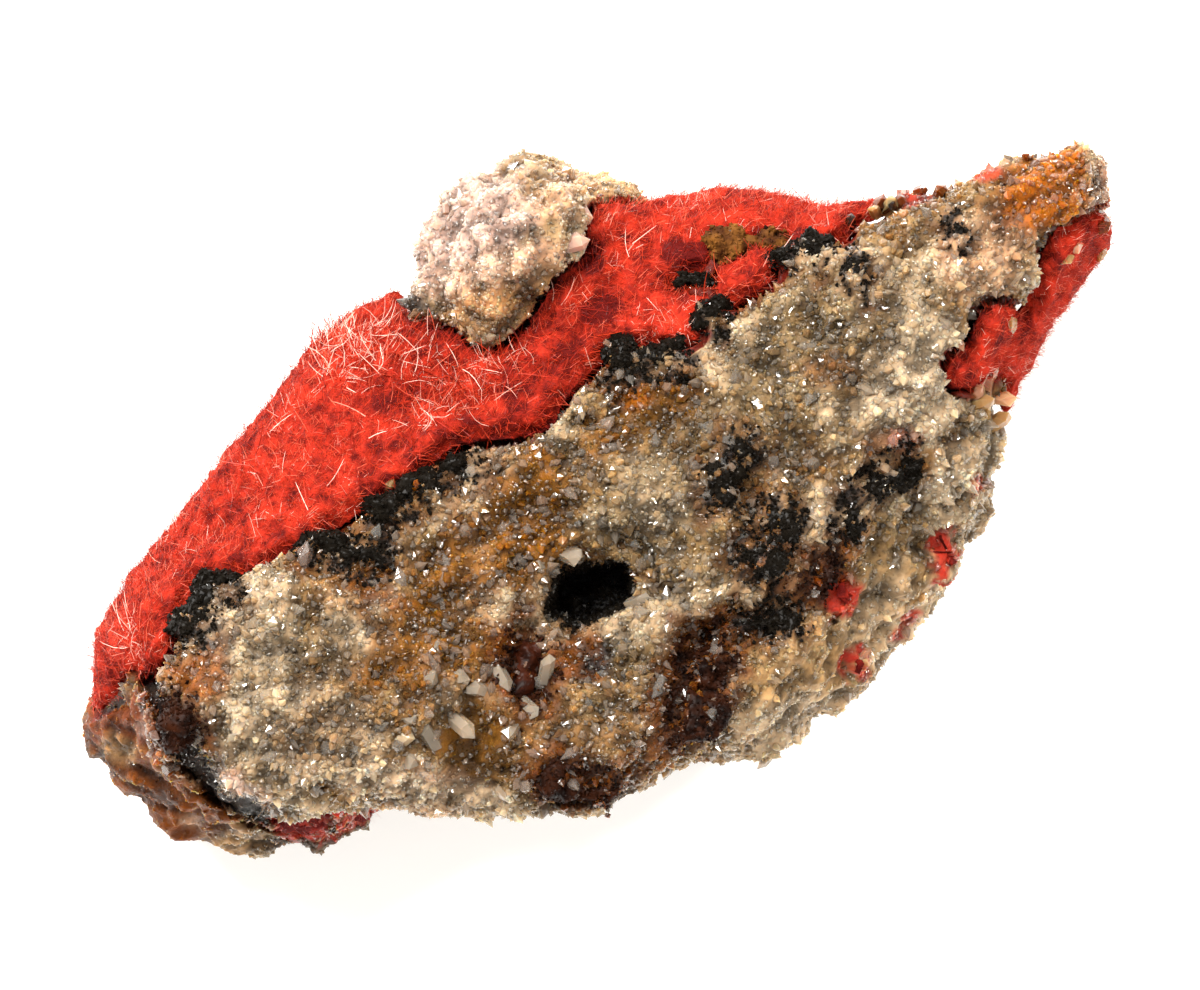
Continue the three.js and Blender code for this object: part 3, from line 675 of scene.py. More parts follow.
# %% Places of the stains
PATCHES = (  # colour, x, y, half length, half width, turn in degrees, strength
    ("green_grey", -13.0, -4.5, 2.8, 2.3, 0, 0.8),
    ("milky", -13.0, -4.2, 1.8, 2.2, 20, 0.65),
    ("milky", -11.5, -8.3, 3.4, 1.7, -10, 0.6),
    ("green_grey", -2.0, 1.3, 1.6, 1.1, 20, 0.9),
    ("green_grey", 2.5, -0.8, 2.9, 2.9, 0, 0.8),
    ("milky", 2.4, 0.2, 1.6, 1.0, 30, 0.45),
    ("green_grey", 1.1, -5.0, 1.5, 1.4, 0, 0.9),
    ("milky", 1.0, -4.6, 1.1, 0.8, 0, 0.5),
    ("green_grey", 5.2, 2.8, 2.8, 2.0, 20, 0.8),
    ("green_grey", 8.0, 6.0, 3.2, 2.0, 30, 0.8),
    ("milky", 12.2, 4.6, 3.0, 2.0, 40, 0.9),
    ("peach", 14.6, 9.4, 2.0, 1.5, 40, 0.6),
    ("milky", -9.0, -4.5, 1.6, 1.2, 0, 0.4),
    ("golden", -2.6, -0.4, 1.7, 2.2, 0, 0.95),
    ("golden", -6.2, -5.3, 2.6, 1.9, 20, 0.9),
    ("golden", -4.8, -1.9, 2.3, 1.6, 40, 0.9),
    ("golden", -10.5, -8.5, 1.7, 1.1, 0, 0.4),
    ("golden", -9.6, -3.0, 1.6, 0.8, 20, 0.6),
    ("golden", 0.6, 2.6, 1.4, 0.8, 20, 0.7),
    ("orange", 16.8, 11.8, 1.9, 1.75, 0, 1.0),
    ("pink", 19.2, 11.6, 0.9, 1.5, 0, 0.8),
    ("ochre", 2.2, 3.9, 2.0, 1.1, 15, 0.95),
    ("orange", 1.4, 4.0, 0.7, 0.5, 0, 0.6),
    ("orange", -14.7, -6.4, 1.0, 1.1, 0, 0.7),
    ("amber", -0.5, -5.6, 1.0, 0.9, 0, 0.9),
    ("orange", -1.2, -5.4, 0.6, 0.5, 0, 0.6),
    ("soot_and_shadow", 0.0, -6.0, 0.6, 0.22, -25, 0.85),
    ("soot_and_shadow", 0.4, -5.4, 0.22, 0.4, 10, 0.8),
    ("ochre", -4.6, -8.9, 1.7, 1.7, 0, 0.95),
    ("peach", -6.0, -10.9, 2.6, 1.0, -20, 0.9),
    ("milky", -4.0, -11.4, 1.2, 0.8, -30, 0.9),
    ("milky", -6.8, -10.6, 2.4, 0.7, -20, 0.8),
    ("tan", 9.5, -4.9, 5.4, 2.6, 38, 0.9),
    ("milky", 12.8, -3.8, 3.6, 0.7, 50, 0.6),
    ("green_grey", 11.2, -1.6, 2.4, 1.2, 50, 0.6),
    ("milky", 7.0, -8.2, 2.4, 1.0, 25, 0.7),
    ("milky", 13.6, 0.6, 1.2, 2.2, -10, 0.6),
    ("milky", 10.4, -4.1, 1.7, 1.1, 45, 0.5),
    ("lavender_and_highlight", -5.0, 10.2, 2.6, 2.8, 0, 0.9),
    ("peach", -3.6, 8.6, 2.6, 1.1, 15, 0.6),
    ("olive", -4.0, 7.2, 2.6, 1.0, 15, 0.8),
    ("peach", -0.3, 11.7, 2.1, 1.2, 0, 0.8),
    ("tan", 0.6, 11.4, 1.4, 0.9, 0, 0.6),
    ("plum", -17.6, -8.6, 2.2, 2.0, 0, 1.0),
    ("tan", -17.9, -9.3, 0.8, 0.6, 0, 0.7),
    ("pink", -17.0, -8.3, 0.5, 0.4, 30, 0.5),
    ("rust", -18.3, -9.9, 0.7, 0.4, -40, 0.7),
    ("amber", -15.8, -11.6, 2.6, 1.9, -30, 1.0),
    ("tan", -13.6, -12.9, 1.2, 0.7, 0, 0.8),
    ("peach", -15.4, -11.9, 0.5, 0.3, 0, 0.6),
    ("rust", -16.3, -10.9, 0.9, 0.4, -50, 0.7),
    # painted highlight: a pale band along the lit rim of the face over the foot
    ("lavender_and_highlight", -13.2, -10.5, 1.9, 0.25, -30, 0.6),
    ("rust", -8.2, 8.0, 0.35, 1.5, -10, 0.85),
    ("rust", -6.7, 7.4, 0.5, 0.9, 60, 0.85),
    ("soot_and_shadow", -6.9, 7.6, 0.25, 0.5, 60, 0.6),
    ("rust", -2.6, 7.9, 0.5, 0.4, 0, 0.8),
    ("rust", -3.6, 6.6, 0.5, 0.3, 30, 0.8),
    ("amber", 6.6, -1.9, 1.1, 0.6, 40, 0.6),
    ("rust", 9.4, 0.5, 0.7, 0.5, 0, 0.7),
    ("amber", 10.4, 2.4, 0.7, 0.5, 30, 0.6),
    ("amber", -10.9, -1.9, 0.5, 0.7, 0, 0.7),
    ("amber", -8.2, -3.2, 1.2, 0.4, -20, 0.6),
    ("rust", -11.0, -12.6, 1.9, 0.7, 15, 0.9),
    ("pink", 6.2, 11.7, 1.9, 0.8, 0, 0.8),
    ("pink", 10.4, 11.8, 1.6, 0.9, 0, 0.6),
    ("rust", 3.7, -6.4, 1.6, 2.4, 0, 0.85),
    ("rust", -0.7, -10.4, 1.9, 1.2, 0, 0.85),
    ("rust", 5.6, -4.5, 2.3, 0.8, 15, 0.75),
    ("amber", 1.8, -9.4, 1.4, 0.8, 20, 0.6),
    ("rust", 8.3, -3.0, 0.8, 1.3, 0, 0.7),
    ("amber", 8.6, 5.0, 1.2, 0.7, 0, 0.4),
    ("blood", 11.7, 11.6, 0.8, 0.5, 0, 0.9),
    ("blood", 14.4, 12.5, 0.8, 0.4, 0, 0.8),
    ("blood", 9.0, -3.1, 0.6, 0.45, 0, 0.9),
    ("blood", 11.4, 2.5, 0.5, 0.4, 0, 0.6),
    ("blood", 13.0, -1.9, 0.25, 0.6, -20, 0.9),
    ("blood", 14.3, 0.8, 0.25, 0.35, 0, 0.9),
    ("blood", 11.8, -4.2, 0.3, 0.25, 40, 0.9),
    ("blood", 11.3, -4.9, 0.25, 0.2, 0, 0.9),
    ("blood", 10.0, -6.4, 0.3, 0.2, 40, 0.9),
    ("plum", -2.9, -5.9, 0.8, 1.3, 0, 0.9),
)
print("patches:", len(PATCHES))

# %% Paint the skin


def blended(colours, name, share):
    """Mixes one of the named colours into an array of colours."""
    return colours + (np.array(COLOURS[name]) - colours) * share[:, None]


def painted(places, directions, raised):
    """The stain at each place on the rock, with painted light and shade. Iron settles in hollows, so what is
    raised stays pale, which also paints light on the tops. The light reaches the tops of clusters of crystals
    and not the crevices between them, so these are painted darker, and raised ground is painted lighter."""
    fray = noise_at(places, 1.4 * MM, 5.0)
    cloud = noise_at(places, 3.0 * MM, 7.0)
    front = smooth(-0.9, -0.3, directions[:, Z])
    high_up = step_along(Z, 5.0, 7.0, places)
    colours = np.tile(COLOURS["grey"], (len(places), 1))
    colours = blended(colours, "milky", smooth(0.0, 0.5, cloud + raised) * 0.6)
    colours = blended(colours, "golden", smooth(0.1, -0.5, cloud + raised) * 0.5)
    for name, *place, strength in PATCHES:
        share = oval(places, *place, fray) * strength * front
        if name == "blood":
            share *= high_up
        colours = blended(colours, name, share)
    colours = blended(colours, "amber", (1 - front) * smooth(-0.3, 0.5, fray) * 0.6)
    clusters = noise_at(places, 1.1 * MM, 23.0) + 0.6 * noise_at(places, 0.5 * MM, 29.0)
    crevices = noise_at(places, 0.3 * MM, 33.0) + 0.5 * noise_at(places, 0.5 * MM, 29.0)
    # painted light and shade: raised ground and the tops of clusters lighter, crevices darker
    shade = (0.8 + 0.35 * smooth(-0.5, 0.5, raised)) * (0.52 + 0.78 * smooth(-0.4, 0.35, clusters))
    shade *= 0.72 + 0.45 * smooth(-0.35, 0.3, crevices)
    return colours * shade[:, None]


def paint(mesh, colours):
    """Stores a colour for each vertex as the stain with its painted shade, which the materials read."""
    layer = mesh.color_attributes.new("stain_and_shade", "FLOAT_COLOR", "POINT")
    rgba = np.ones((len(colours), 4))
    rgba[:, :3] = colours
    layer.data.foreach_set("color", rgba.ravel())


def store(mesh, name, values):
    """Stores one number for each vertex under a name, for Geometry Nodes and materials."""
    layer = mesh.attributes.new(name, "FLOAT", "POINT")
    layer.data.foreach_set("value", np.ascontiguousarray(values, dtype=np.float32))


vug = vug_share(points, ragged)
KNOB = (-3.6, 9.3, 4.4, 3.4, 15)  # x, y, half length, half width, turn
knob = oval(points, *KNOB, ragged * 0.2) * step_along(Z, 9.0, 10.2, points)
stain_and_shade = painted(points, facing, raised)
stain_and_shade = blended(stain_and_shade, "amber", np.clip(rust_fringe, 0, 1) * (1 - knob) * 0.75)
stain_and_shade = blended(stain_and_shade, "rust", rusty * 0.9)
stain_and_shade = blended(stain_and_shade, "soot_and_shadow", np.maximum(sooty * 0.95, vug))
# painted shadow: the gap between the face and the foot is painted black
stain_and_shade = blended(stain_and_shade, "soot_and_shadow", gap * 0.95)
stain_and_shade = blended(stain_and_shade, "blood", flecked)
# painted shade: the rock under the felt is stained red and painted darker
stain_and_shade = blended(stain_and_shade, "blood", felted * 0.9) * (1 - 0.75 * felted[:, None])
paint(skin, stain_and_shade)
print("mean stain:", stain_and_shade.mean(axis=0).round(3))

# %% [markdown]
# ## Growing crystals
# One Geometry Nodes tree does all the scattering. It strews points over a surface no closer together than a
# given distance, and sets a crystal or hair from a collection of shapes on each, leaning at random and combed
# in one direction if asked. Hand placing would take thousands of steps, and a particle system would leave
# nothing in the export.

# %% Inputs and node helpers
GROW_INPUTS = (  # name, kind of socket, default value
    ("Shapes", "Collection", None),
    ("Where", "String", "everywhere"),
    ("Spacing", "Float", 0.4 * MM),
    ("Smallest", "Float", 0.7),
    ("Largest", "Float", 1.3),
    ("Slimmest", "Float", 0.8),
    ("Stoutest", "Float", 1.15),
    ("Lift", "Float", 1.0),
    ("Lean", "Float", 0.5),
    ("Comb", "Vector", (0.0, 0.0, 0.0)),
    ("Sink", "Float", 0.1 * MM),
    ("Tone spread", "Float", 1.0),
    ("Seed", "Int", 1),
    ("Material", "Material", None),
)


def result(tree, kind, inputs, **settings):
    """Adds a node and gives its first output."""
    return add_node(tree, kind, inputs, **settings).outputs[0]


def named_number(tree, name):
    """A number that is stored on the surface under a name."""
    return result(tree, "GeometryNodeInputNamedAttribute", {"Name": name}, data_type="FLOAT")


def math_node(tree, operation, first, second):
    """The result of an operation on two numbers."""
    return result(tree, "ShaderNodeMath", {0: first, 1: second}, operation=operation)


def vector_node(tree, operation, first, second):
    """The result of an operation on two vectors, or on a vector and its scale."""
    inputs = {0: first, "Scale" if operation == "SCALE" else 1: second}
    return result(tree, "ShaderNodeVectorMath", inputs, operation=operation)


def random_node(tree, kind, low, high, seed, step):
    """A random value for each point. The step keeps draws with the same seed apart."""
    start = {"FLOAT": 2, "FLOAT_VECTOR": 0, "INT": 4}[kind]
    inputs = {start: low, start + 1: high, 8: math_node(tree, "ADD", seed, step)}
    node = add_node(tree, "FunctionNodeRandomValue", inputs, data_type=kind)
    return next(socket for socket in node.outputs if socket.enabled)


print("inputs:", [name for name, _, _ in GROW_INPUTS])

# %% The tree


def grow_tree():
    """Builds the tree that scatters shapes over a surface and makes them real."""
    tree = bpy.data.node_groups.new("grow", "GeometryNodeTree")
    face = tree.interface
    face.new_socket("Surface", in_out="INPUT", socket_type="NodeSocketGeometry")
    for name, kind, value in GROW_INPUTS:
        socket = face.new_socket(name, in_out="INPUT", socket_type="NodeSocket" + kind)
        if value is not None:
            socket.default_value = value
    face.new_socket("Geometry", in_out="OUTPUT", socket_type="NodeSocketGeometry")
    given = add_node(tree, "NodeGroupInput").outputs
    seed = given["Seed"]

    crowd = math_node(tree, "DIVIDE", 3.0, math_node(tree, "MULTIPLY", given["Spacing"], given["Spacing"]))
    strewn = add_node(
        tree,
        "GeometryNodeDistributePointsOnFaces",
        {
            "Mesh": given["Surface"],
            "Distance Min": given["Spacing"],
            "Density Max": crowd,
            "Density Factor": named_number(tree, given["Where"]),
            "Seed": seed,
        },
        distribute_method="POISSON",
    ).outputs
    normal = strewn["Normal"]
    chance = random_node(tree, "FLOAT_VECTOR", (-1, -1, -1), (1, 1, 1), seed, 1)
    aim = vector_node(tree, "SCALE", normal, given["Lift"])
    aim = vector_node(tree, "ADD", aim, vector_node(tree, "SCALE", chance, given["Lean"]))
    aim = vector_node(tree, "ADD", aim, given["Comb"])
    upright = result(tree, "FunctionNodeAlignRotationToVector", {"Vector": aim}, axis="Z")
    turn = random_node(tree, "FLOAT", 0.0, math.tau, seed, 2)
    spin = result(tree, "FunctionNodeAxisAngleToRotation", {"Axis": (0, 0, 1), "Angle": turn})
    rotation = result(tree, "FunctionNodeRotateRotation", {0: upright, 1: spin}, rotation_space="LOCAL")
    down = vector_node(tree, "SCALE", normal, math_node(tree, "MULTIPLY", given["Sink"], -1.0))
    sunk = result(tree, "GeometryNodeSetPosition", {"Geometry": strewn["Points"], "Offset": down})
    length = random_node(tree, "FLOAT", given["Smallest"], given["Largest"], seed, 3)
    height = math_node(tree, "MULTIPLY", named_number(tree, "grain"), length)
    girth = random_node(tree, "FLOAT", given["Slimmest"], given["Stoutest"], seed, 4)
    width = math_node(tree, "MULTIPLY", height, girth)
    placed = result(
        tree,
        "GeometryNodeInstanceOnPoints",
        {
            "Points": sunk,
            "Instance": result(tree, "GeometryNodeCollectionInfo", {0: given["Shapes"], 1: True, 2: True}),
            "Pick Instance": True,
            "Instance Index": random_node(tree, "INT", 0, 99, seed, 5),
            "Rotation": rotation,
            "Scale": result(tree, "ShaderNodeCombineXYZ", {0: width, 1: width, 2: height}),
        },
    )
    spread = math_node(tree, "MULTIPLY", random_node(tree, "FLOAT", 0.0, 1.0, seed, 6), given["Tone spread"])
    # the tone is the painted light stored on the surface plus a random share
    tone = math_node(tree, "ADD", named_number(tree, "light"), spread)
    toned = result(
        tree,
        "GeometryNodeStoreNamedAttribute",
        {"Geometry": placed, "Name": "tone", "Value": tone},
        data_type="FLOAT",
        domain="INSTANCE",
    )
    real = result(tree, "GeometryNodeRealizeInstances", {0: toned})
    finished = result(tree, "GeometryNodeSetMaterial", {"Geometry": real, "Material": given["Material"]})
    add_node(tree, "NodeGroupOutput", {0: finished})
    return tree


GROW = grow_tree()


def grown(surface, **values):
    """The mesh that the tree grows on a surface. Input names are written with _ for a space."""
    thing = linked("grown", surface)
    modifier = thing.modifiers.new("grow", "NODES")
    modifier.node_group = GROW
    identifiers = {item.name: item.identifier for item in GROW.interface.items_tree}
    for name, value in values.items():
        modifier[identifiers[name.replace("_", " ")]] = value
    return baked(thing)


print("nodes in the tree:", len(GROW.nodes))

# %% [markdown]
# ### Shapes to scatter
# A quartz crystal is a prism of six sides under a pyramid of six faces, and no two faces are the same size. A
# handful of irregular ones is enough, since each copy is turned and sized at random. Each has 22 triangles,
# because there will be thousands. The finest grains are too small to show a prism: they are lumps of eight
# faces, most of them shaded round for the sugary quartz, and flat for tenorite and goethite. A hair is a thin
# curved spike with three sides.

# %% Quartz crystals
SHAPES = 10  # how many of each kind


def collection_of(name, meshes):
    """A collection outside the scene, with one object for each mesh."""
    made = bpy.data.collections.new(name)
    for number, mesh in enumerate(meshes):
        made.objects.link(bpy.data.objects.new(f"{name}_{number:02d}", mesh))
    return made


def mesh_of(name, corners, faces, rounded=False):
    """A mesh of corners and faces, shaded round or flat."""
    mesh = bpy.data.meshes.new(name)
    mesh.from_pydata([tuple(float(v) for v in corner) for corner in corners], [], faces)
    mesh.update()
    if rounded:
        mesh.shade_smooth()
    return mesh


def rings_to_tip(rings, tip):
    """Corners and faces of a spike: rings of equal count from the base up, and one tip."""
    count = len(rings[0])
    corners = [corner for ring in rings for corner in ring] + [tip]
    faces = [tuple(reversed(range(count)))]
    for level in range(len(rings) - 1):
        for side in range(count):
            here, next_one = level * count + side, level * count + (side + 1) % count
            faces.append((here, next_one, next_one + count, here + count))
    last = (len(rings) - 1) * count
    faces += [(last + side, last + (side + 1) % count, len(corners) - 1) for side in range(count)]
    return corners, faces


def quartz_point(random, shoulder):
    """A crystal one unit high above z = 0 and about 0.8 wide, with its root below."""
    angles = np.arange(6) * math.tau / 6
    radii = 0.42 * random.uniform(0.82, 1.12, 6)
    heights = shoulder * random.uniform(0.65, 1.25, 6)
    ring = np.stack([radii * np.cos(angles), radii * np.sin(angles)], axis=1)
    foot = [(x, y, -0.45) for x, y in ring]
    top = [(x, y, z) for (x, y), z in zip(ring, heights)]
    tip = (*random.uniform(-0.13, 0.13, 2), 1.0)
    return rings_to_tip([foot, top], tip)


random = np.random.default_rng(4)
points_stubby = collection_of(
    "stubby", [mesh_of("stubby", *quartz_point(random, shoulder=0.45)) for _ in range(SHAPES)]
)

# %% Hairs and grains


def hair(random, bend, joints, thickness):
    """A hair one unit long that starts upright and bends over at its joints, three-sided and pointed.
    Its thickness is a share of its length."""
    lengths = np.linspace(0, 0.85, joints)
    sway = random.uniform(-0.25, 0.25)
    rings = []
    for along in lengths:
        lean = bend * along * along
        centre = np.array([lean, sway * along * (1 - along), along * (1 - 0.35 * abs(bend) * along)])
        thick = thickness * (1 - 0.45 * along)
        rings.append(
            [
                centre + thick * np.array([math.cos(a), math.sin(a), 0])
                for a in (0, math.tau / 3, 2 * math.tau / 3)
            ]
        )
    tip = (bend, 0, 1 - 0.35 * abs(bend))
    return rings_to_tip(rings, tip)


def grit(random):
    """The smallest grain: two four-sided pyramids base to base, with their corners moved."""
    corners = np.array([(1, 0, 0), (0, 1, 0), (-1, 0, 0), (0, -1, 0), (0, 0, 1), (0, 0, -1)]) * 0.6
    corners = corners * random.uniform(0.7, 1.1, (6, 1)) + random.uniform(-0.12, 0.12, (6, 3))
    upper = [(side, (side + 1) % 4, 4) for side in range(4)]
    lower = [((side + 1) % 4, side, 5) for side in range(4)]
    return corners, upper + lower


def hairs(name, random, most_bend, joints, thickness):
    """A collection of hairs that bend over by different amounts."""
    made = []
    for _ in range(SHAPES):
        bend = random.uniform(0.1, most_bend)
        made.append(mesh_of("hair", *hair(random, bend, joints, thickness)))
    return collection_of(name, made)


short_hairs = hairs("short_hair", random, most_bend=0.75, joints=2, thickness=0.022)
long_hairs = hairs("long_hair", random, most_bend=0.7, joints=4, thickness=0.014)
grits = collection_of("grit", [mesh_of("grit", *grit(random)) for _ in range(SHAPES)])
beads = collection_of("bead", [mesh_of("bead", *grit(random), rounded=number % 4) for number in range(16)])

# %% [markdown]
# ## Druse
# The quartz coat is a sugar of fine grains all over the face, the knob and the foot, with coarser crystals in
# patches where the face is level. The walls carry a thinner coat, and the flank and the hollow at the lower
# edge less than the rest. Each of these is a number from 0 to 1 on the skin that thins the points out. One
# size of crystal everywhere would look like gravel, so five kinds of crystal grow among one another, which
# differ in size and clarity.

# %% Where the druse grows
up = facing[:, Z]
front = smooth(-0.35, 0.25, up)
HOLLOW = (-4.8, -9.3, 1.6, 1.7, 0)  # x, y, half length, half width, turn
FLANK = (9.9, -4.9, 5.8, 1.9, 41)
FOOT = (-16.0, -10.0, 4.5, 4.5, 0)
DRUSE_SPLIT = 0.5 * MM  # the finest crystals are two pieces, left and right of this
bare = oval(points, *HOLLOW, ragged)
flank = oval(points, *FLANK, ragged)
foot = oval(points, *FOOT, ragged) * step_along(Z, 11.0, 10.0, points)
free = (1 - felted) * (1 - 0.9 * sooty) * (1 - 0.85 * rusty) * (1 - 0.6 * flecked) * (1 - vug)
patchy = smooth(-0.4, 0.3, noise_at(points, 1.6 * MM, 71.0))
on_left = np.where(points[:, X] < DRUSE_SPLIT, 1.0, 0.0)

fine = free * front * (1 - 0.45 * bare) * (1 - 0.55 * flank)
store(skin, "glassy", fine * (1 - 0.7 * np.clip(rust_fringe, 0, 1)) * (1 - foot))
store(skin, "fine_left", fine * on_left)
store(skin, "fine_right", fine * (1 - on_left))
level = smooth(-0.05, 0.45, up)  # where a crystal that stands upright doesn't stick out of the outline
level *= step_along(Z, 6.5, 8.5, points)
coarse = free * level * (1 - foot) * (1 - bare) * (1 - knob) * (0.15 + 0.85 * patchy)
store(skin, "coarse", coarse * (1 - 0.85 * flank))
store(skin, "walls", free * smooth(0.25, -0.2, up) * smooth(-0.85, -0.3, up))
black = smooth(0.6, 0.0, to_tenorite + 0.4 * ragged) * smooth(0.25, 0.0, specks + to_tenorite - 0.2)
black = np.maximum(black, vug) * (1 - felted) * front
store(skin, "black", black)
brown = smooth(0.7, 0.1, to_goethite + 0.4 * ragged) * smooth(0.25, 0.0, specks + to_goethite - 0.3)
store(skin, "brown", brown * (1 - felted) * (1 - black) * front)
store(skin, "grain", MM * (1 - 0.3 * foot))
# painted light: crystals on raised ground get a paler tone, mixed with random noise
store(skin, "light", 0.4 * smooth(-0.3, 0.6, noise_at(points, 1.6 * MM, 77.0) + raised) - 0.1)
print("share of the skin with fine crystals:", fine.mean().round(3))

# %% Grow it
PIECES = []


def piece(name, mesh, replaced=()):
    """Makes a finished object of a mesh, attaches it to the root, hides the CAD nodes that it replaces, and
    prints how many triangles it has.
    """
    mesh.name = name
    made = linked(name, mesh)
    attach(made, "root")
    if replaced:
        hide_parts(*replaced)
    PIECES.append(made)
    triangles = sum(len(face.vertices) - 2 for face in mesh.polygons)
    print(f"{name}: {triangles} triangles")


# name, shapes, material, where, spacing, smallest, largest, slimmest, stoutest, lean, sink, seed. Spacing,
# size and sink are in millimetres, and slimmest and stoutest are widths as a share of the height.
DRUSE = (
    ("quartz_large_crystals", points_stubby, GLASSY, "coarse", 0.95, 0.5, 0.8, 0.6, 0.9, 1.1, 0.2, 8),
    ("quartz_clear_crystals", points_stubby, CLEAR, "coarse", 0.42, 0.28, 0.56, 0.5, 1.0, 0.8, 0.12, 3),
    ("quartz_medium_crystals", points_stubby, MILKY, "coarse", 0.28, 0.24, 0.48, 0.7, 1.1, 0.9, 0.14, 4),
    ("quartz_fine_crystals_left", beads, MILKY, "fine_left", 0.135, 0.15, 0.31, 0.75, 1.1, 1.5, 0.065, 5),
    ("quartz_fine_crystals_right", beads, MILKY, "fine_right", 0.135, 0.15, 0.31, 0.75, 1.1, 1.5, 0.065, 6),
    ("quartz_glassy_grains", beads, CLEAR, "glassy", 0.3, 0.16, 0.32, 0.75, 1.1, 1.5, -0.02, 7),
    ("quartz_wall_crystals", beads, DULL, "walls", 0.17, 0.16, 0.3, 0.75, 1.1, 1.5, 0.03, 9),
    ("tenorite_scattered_grains", grits, TENORITE, "black", 0.11, 0.08, 0.22, 0.5, 1.1, 1.5, -0.07, 11),
    ("goethite_scattered_grains", grits, GOETHITE, "brown", 0.13, 0.1, 0.26, 0.5, 1.1, 1.5, -0.05, 12),
)
for name, shapes, material, where, spacing, smallest, largest, slimmest, stoutest, lean, sink, seed in DRUSE:
    crystals = grown(
        skin.copy(),
        Shapes=shapes,
        Where=where,
        Spacing=spacing * MM,
        Smallest=smallest,
        Largest=largest,
        Slimmest=slimmest,
        Stoutest=stoutest,
        Lean=lean,
        Sink=sink * MM,
        Seed=seed,
        Material=material,
    )
    piece(name, crystals)

# %% [markdown]
# ### Single crystals
# Some crystals are big enough to be seen one by one: glassy ones round the hollow at the lower edge and the
# vug, pale ones in the vein of felt, and brown and dark red ones on the back ridge. They are listed one by
# one, because each has its own place and direction.

# %% Their places
CLEAR_SINGLES = (  # stain, x, y, length, width, direction, tilt in degrees
    ("milky", -5.1, -8.1, 1.1, 0.8, -40, 30),
    ("milky", -6.3, -6.6, 1.0, 0.9, 60, 45),
    ("milky", -5.5, -6.3, 1.1, 0.85, -20, 30),
    ("milky", -3.6, -6.4, 1.0, 0.8, -60, 40),
    ("milky", -2.6, -7.5, 0.9, 0.75, -40, 50),
    ("milky", -1.9, -6.1, 0.9, 0.7, 80, 40),
    ("milky", -6.9, -9.3, 0.9, 0.8, -110, 50),
    ("milky", -6.3, -8.5, 1.0, 0.8, 120, 40),
    ("milky", -7.1, -8.0, 0.9, 0.8, 30, 50),
    ("milky", -3.1, -8.2, 0.9, 0.7, -120, 40),
    ("milky", -4.3, -6.9, 0.9, 0.75, 160, 35),
    ("milky", -1.1, -1.8, 0.9, 0.8, -25, 40),
    ("milky", -2.3, -2.5, 0.8, 0.7, 65, 40),
    ("milky", 1.6, -3.6, 0.9, 0.8, 20, 50),
    ("milky", -5.9, -5.4, 0.8, 0.7, 90, 50),
    ("amber", -11.0, -2.3, 1.3, 0.7, 80, 20),
)
STAINED_SINGLES = (
    ("milky", -7.3, -8.7, 0.8, 0.7, 40, 30),
    ("milky", -6.8, -9.2, 0.7, 0.6, -50, 40),
    ("tan", -7.9, 0.7, 0.8, 0.7, 40, 50),
    ("amber", -6.6, 0.6, 0.6, 0.5, 130, 30),
    ("pink", 1.3, 7.0, 0.6, 0.5, 0, 50),
    ("lavender_and_highlight", -1.2, 9.7, 1.2, 0.9, 14, 8),
    ("pink", -0.6, 11.0, 0.8, 0.6, -60, 30),
    ("soot_and_shadow", -10.6, 5.1, 0.45, 0.4, 0, 50),
    ("tan", 6.1, 11.3, 0.58, 0.43, 150, 60),
    ("plum", 7.2, 11.2, 0.44, 0.43, 60, 60),
    ("tan", 10.2, 11.4, 0.58, 0.5, 120, 60),
    ("plum", 11.2, 11.7, 0.51, 0.58, 60, 60),
    ("plum", 12.1, 11.8, 0.51, 0.5, 20, 60),
    ("blood", 8.4, 11.2, 0.44, 0.5, 80, 60),
    ("rust", 9.3, 11.1, 0.51, 0.5, 100, 60),
    ("amber", 12.8, 11.7, 0.58, 0.58, 70, 60),
    ("tan", 15.2, 12.7, 0.38, 0.43, 110, 60),
    ("amber", 16.0, 13.0, 0.38, 0.36, 100, 60),
    ("tan", 13.5, 12.3, 0.51, 0.43, 100, 60),
    ("plum", 14.4, 12.6, 0.51, 0.5, 160, 60),
    ("pink", 14.75, 5.0, 1.4, 0.65, 75, 15),
    ("tan", 15.3, 6.6, 0.8, 0.75, 60, 40),
    ("peach", 15.3, 4.6, 1.1, 0.6, 65, 20),
    ("tan", 14.3, 4.1, 0.9, 0.65, 100, 30),
    ("pink", 15.0, 3.9, 0.8, 0.6, 50, 40),
    ("tan", 15.05, 3.6, 1.1, 0.7, 15, 25),
    ("peach", 15.0, 4.1, 1.0, 0.7, -10, 25),
    ("tan", 14.9, 3.1, 0.9, 0.7, 30, 25),
    ("plum", 10.55, 11.2, 0.7, 0.7, 90, 60),
    ("tan", 10.75, 11.5, 0.7, 0.7, 60, 60),
    ("rust", 10.9, 11.2, 0.6, 0.6, 30, 60),
    ("tan", 14.5, 3.5, 0.8, 0.7, 90, 40),
    ("tan", 18.85, 9.7, 1.0, 0.75, -80, 40),
    ("pink", 18.75, 9.1, 1.0, 0.7, -70, 40),
    ("tan", 18.45, 8.6, 0.9, 0.7, -60, 40),
    ("plum", 18.9, 10.6, 0.8, 0.7, -60, 50),
)
print("single crystals:", len(CLEAR_SINGLES), "clear,", len(STAINED_SINGLES), "stained")

# %% Set them
SINGLE_SINK = 0.28 * MM
SKY, FACE = 50, 11  # millimetres up: above everything, and about the height of the face


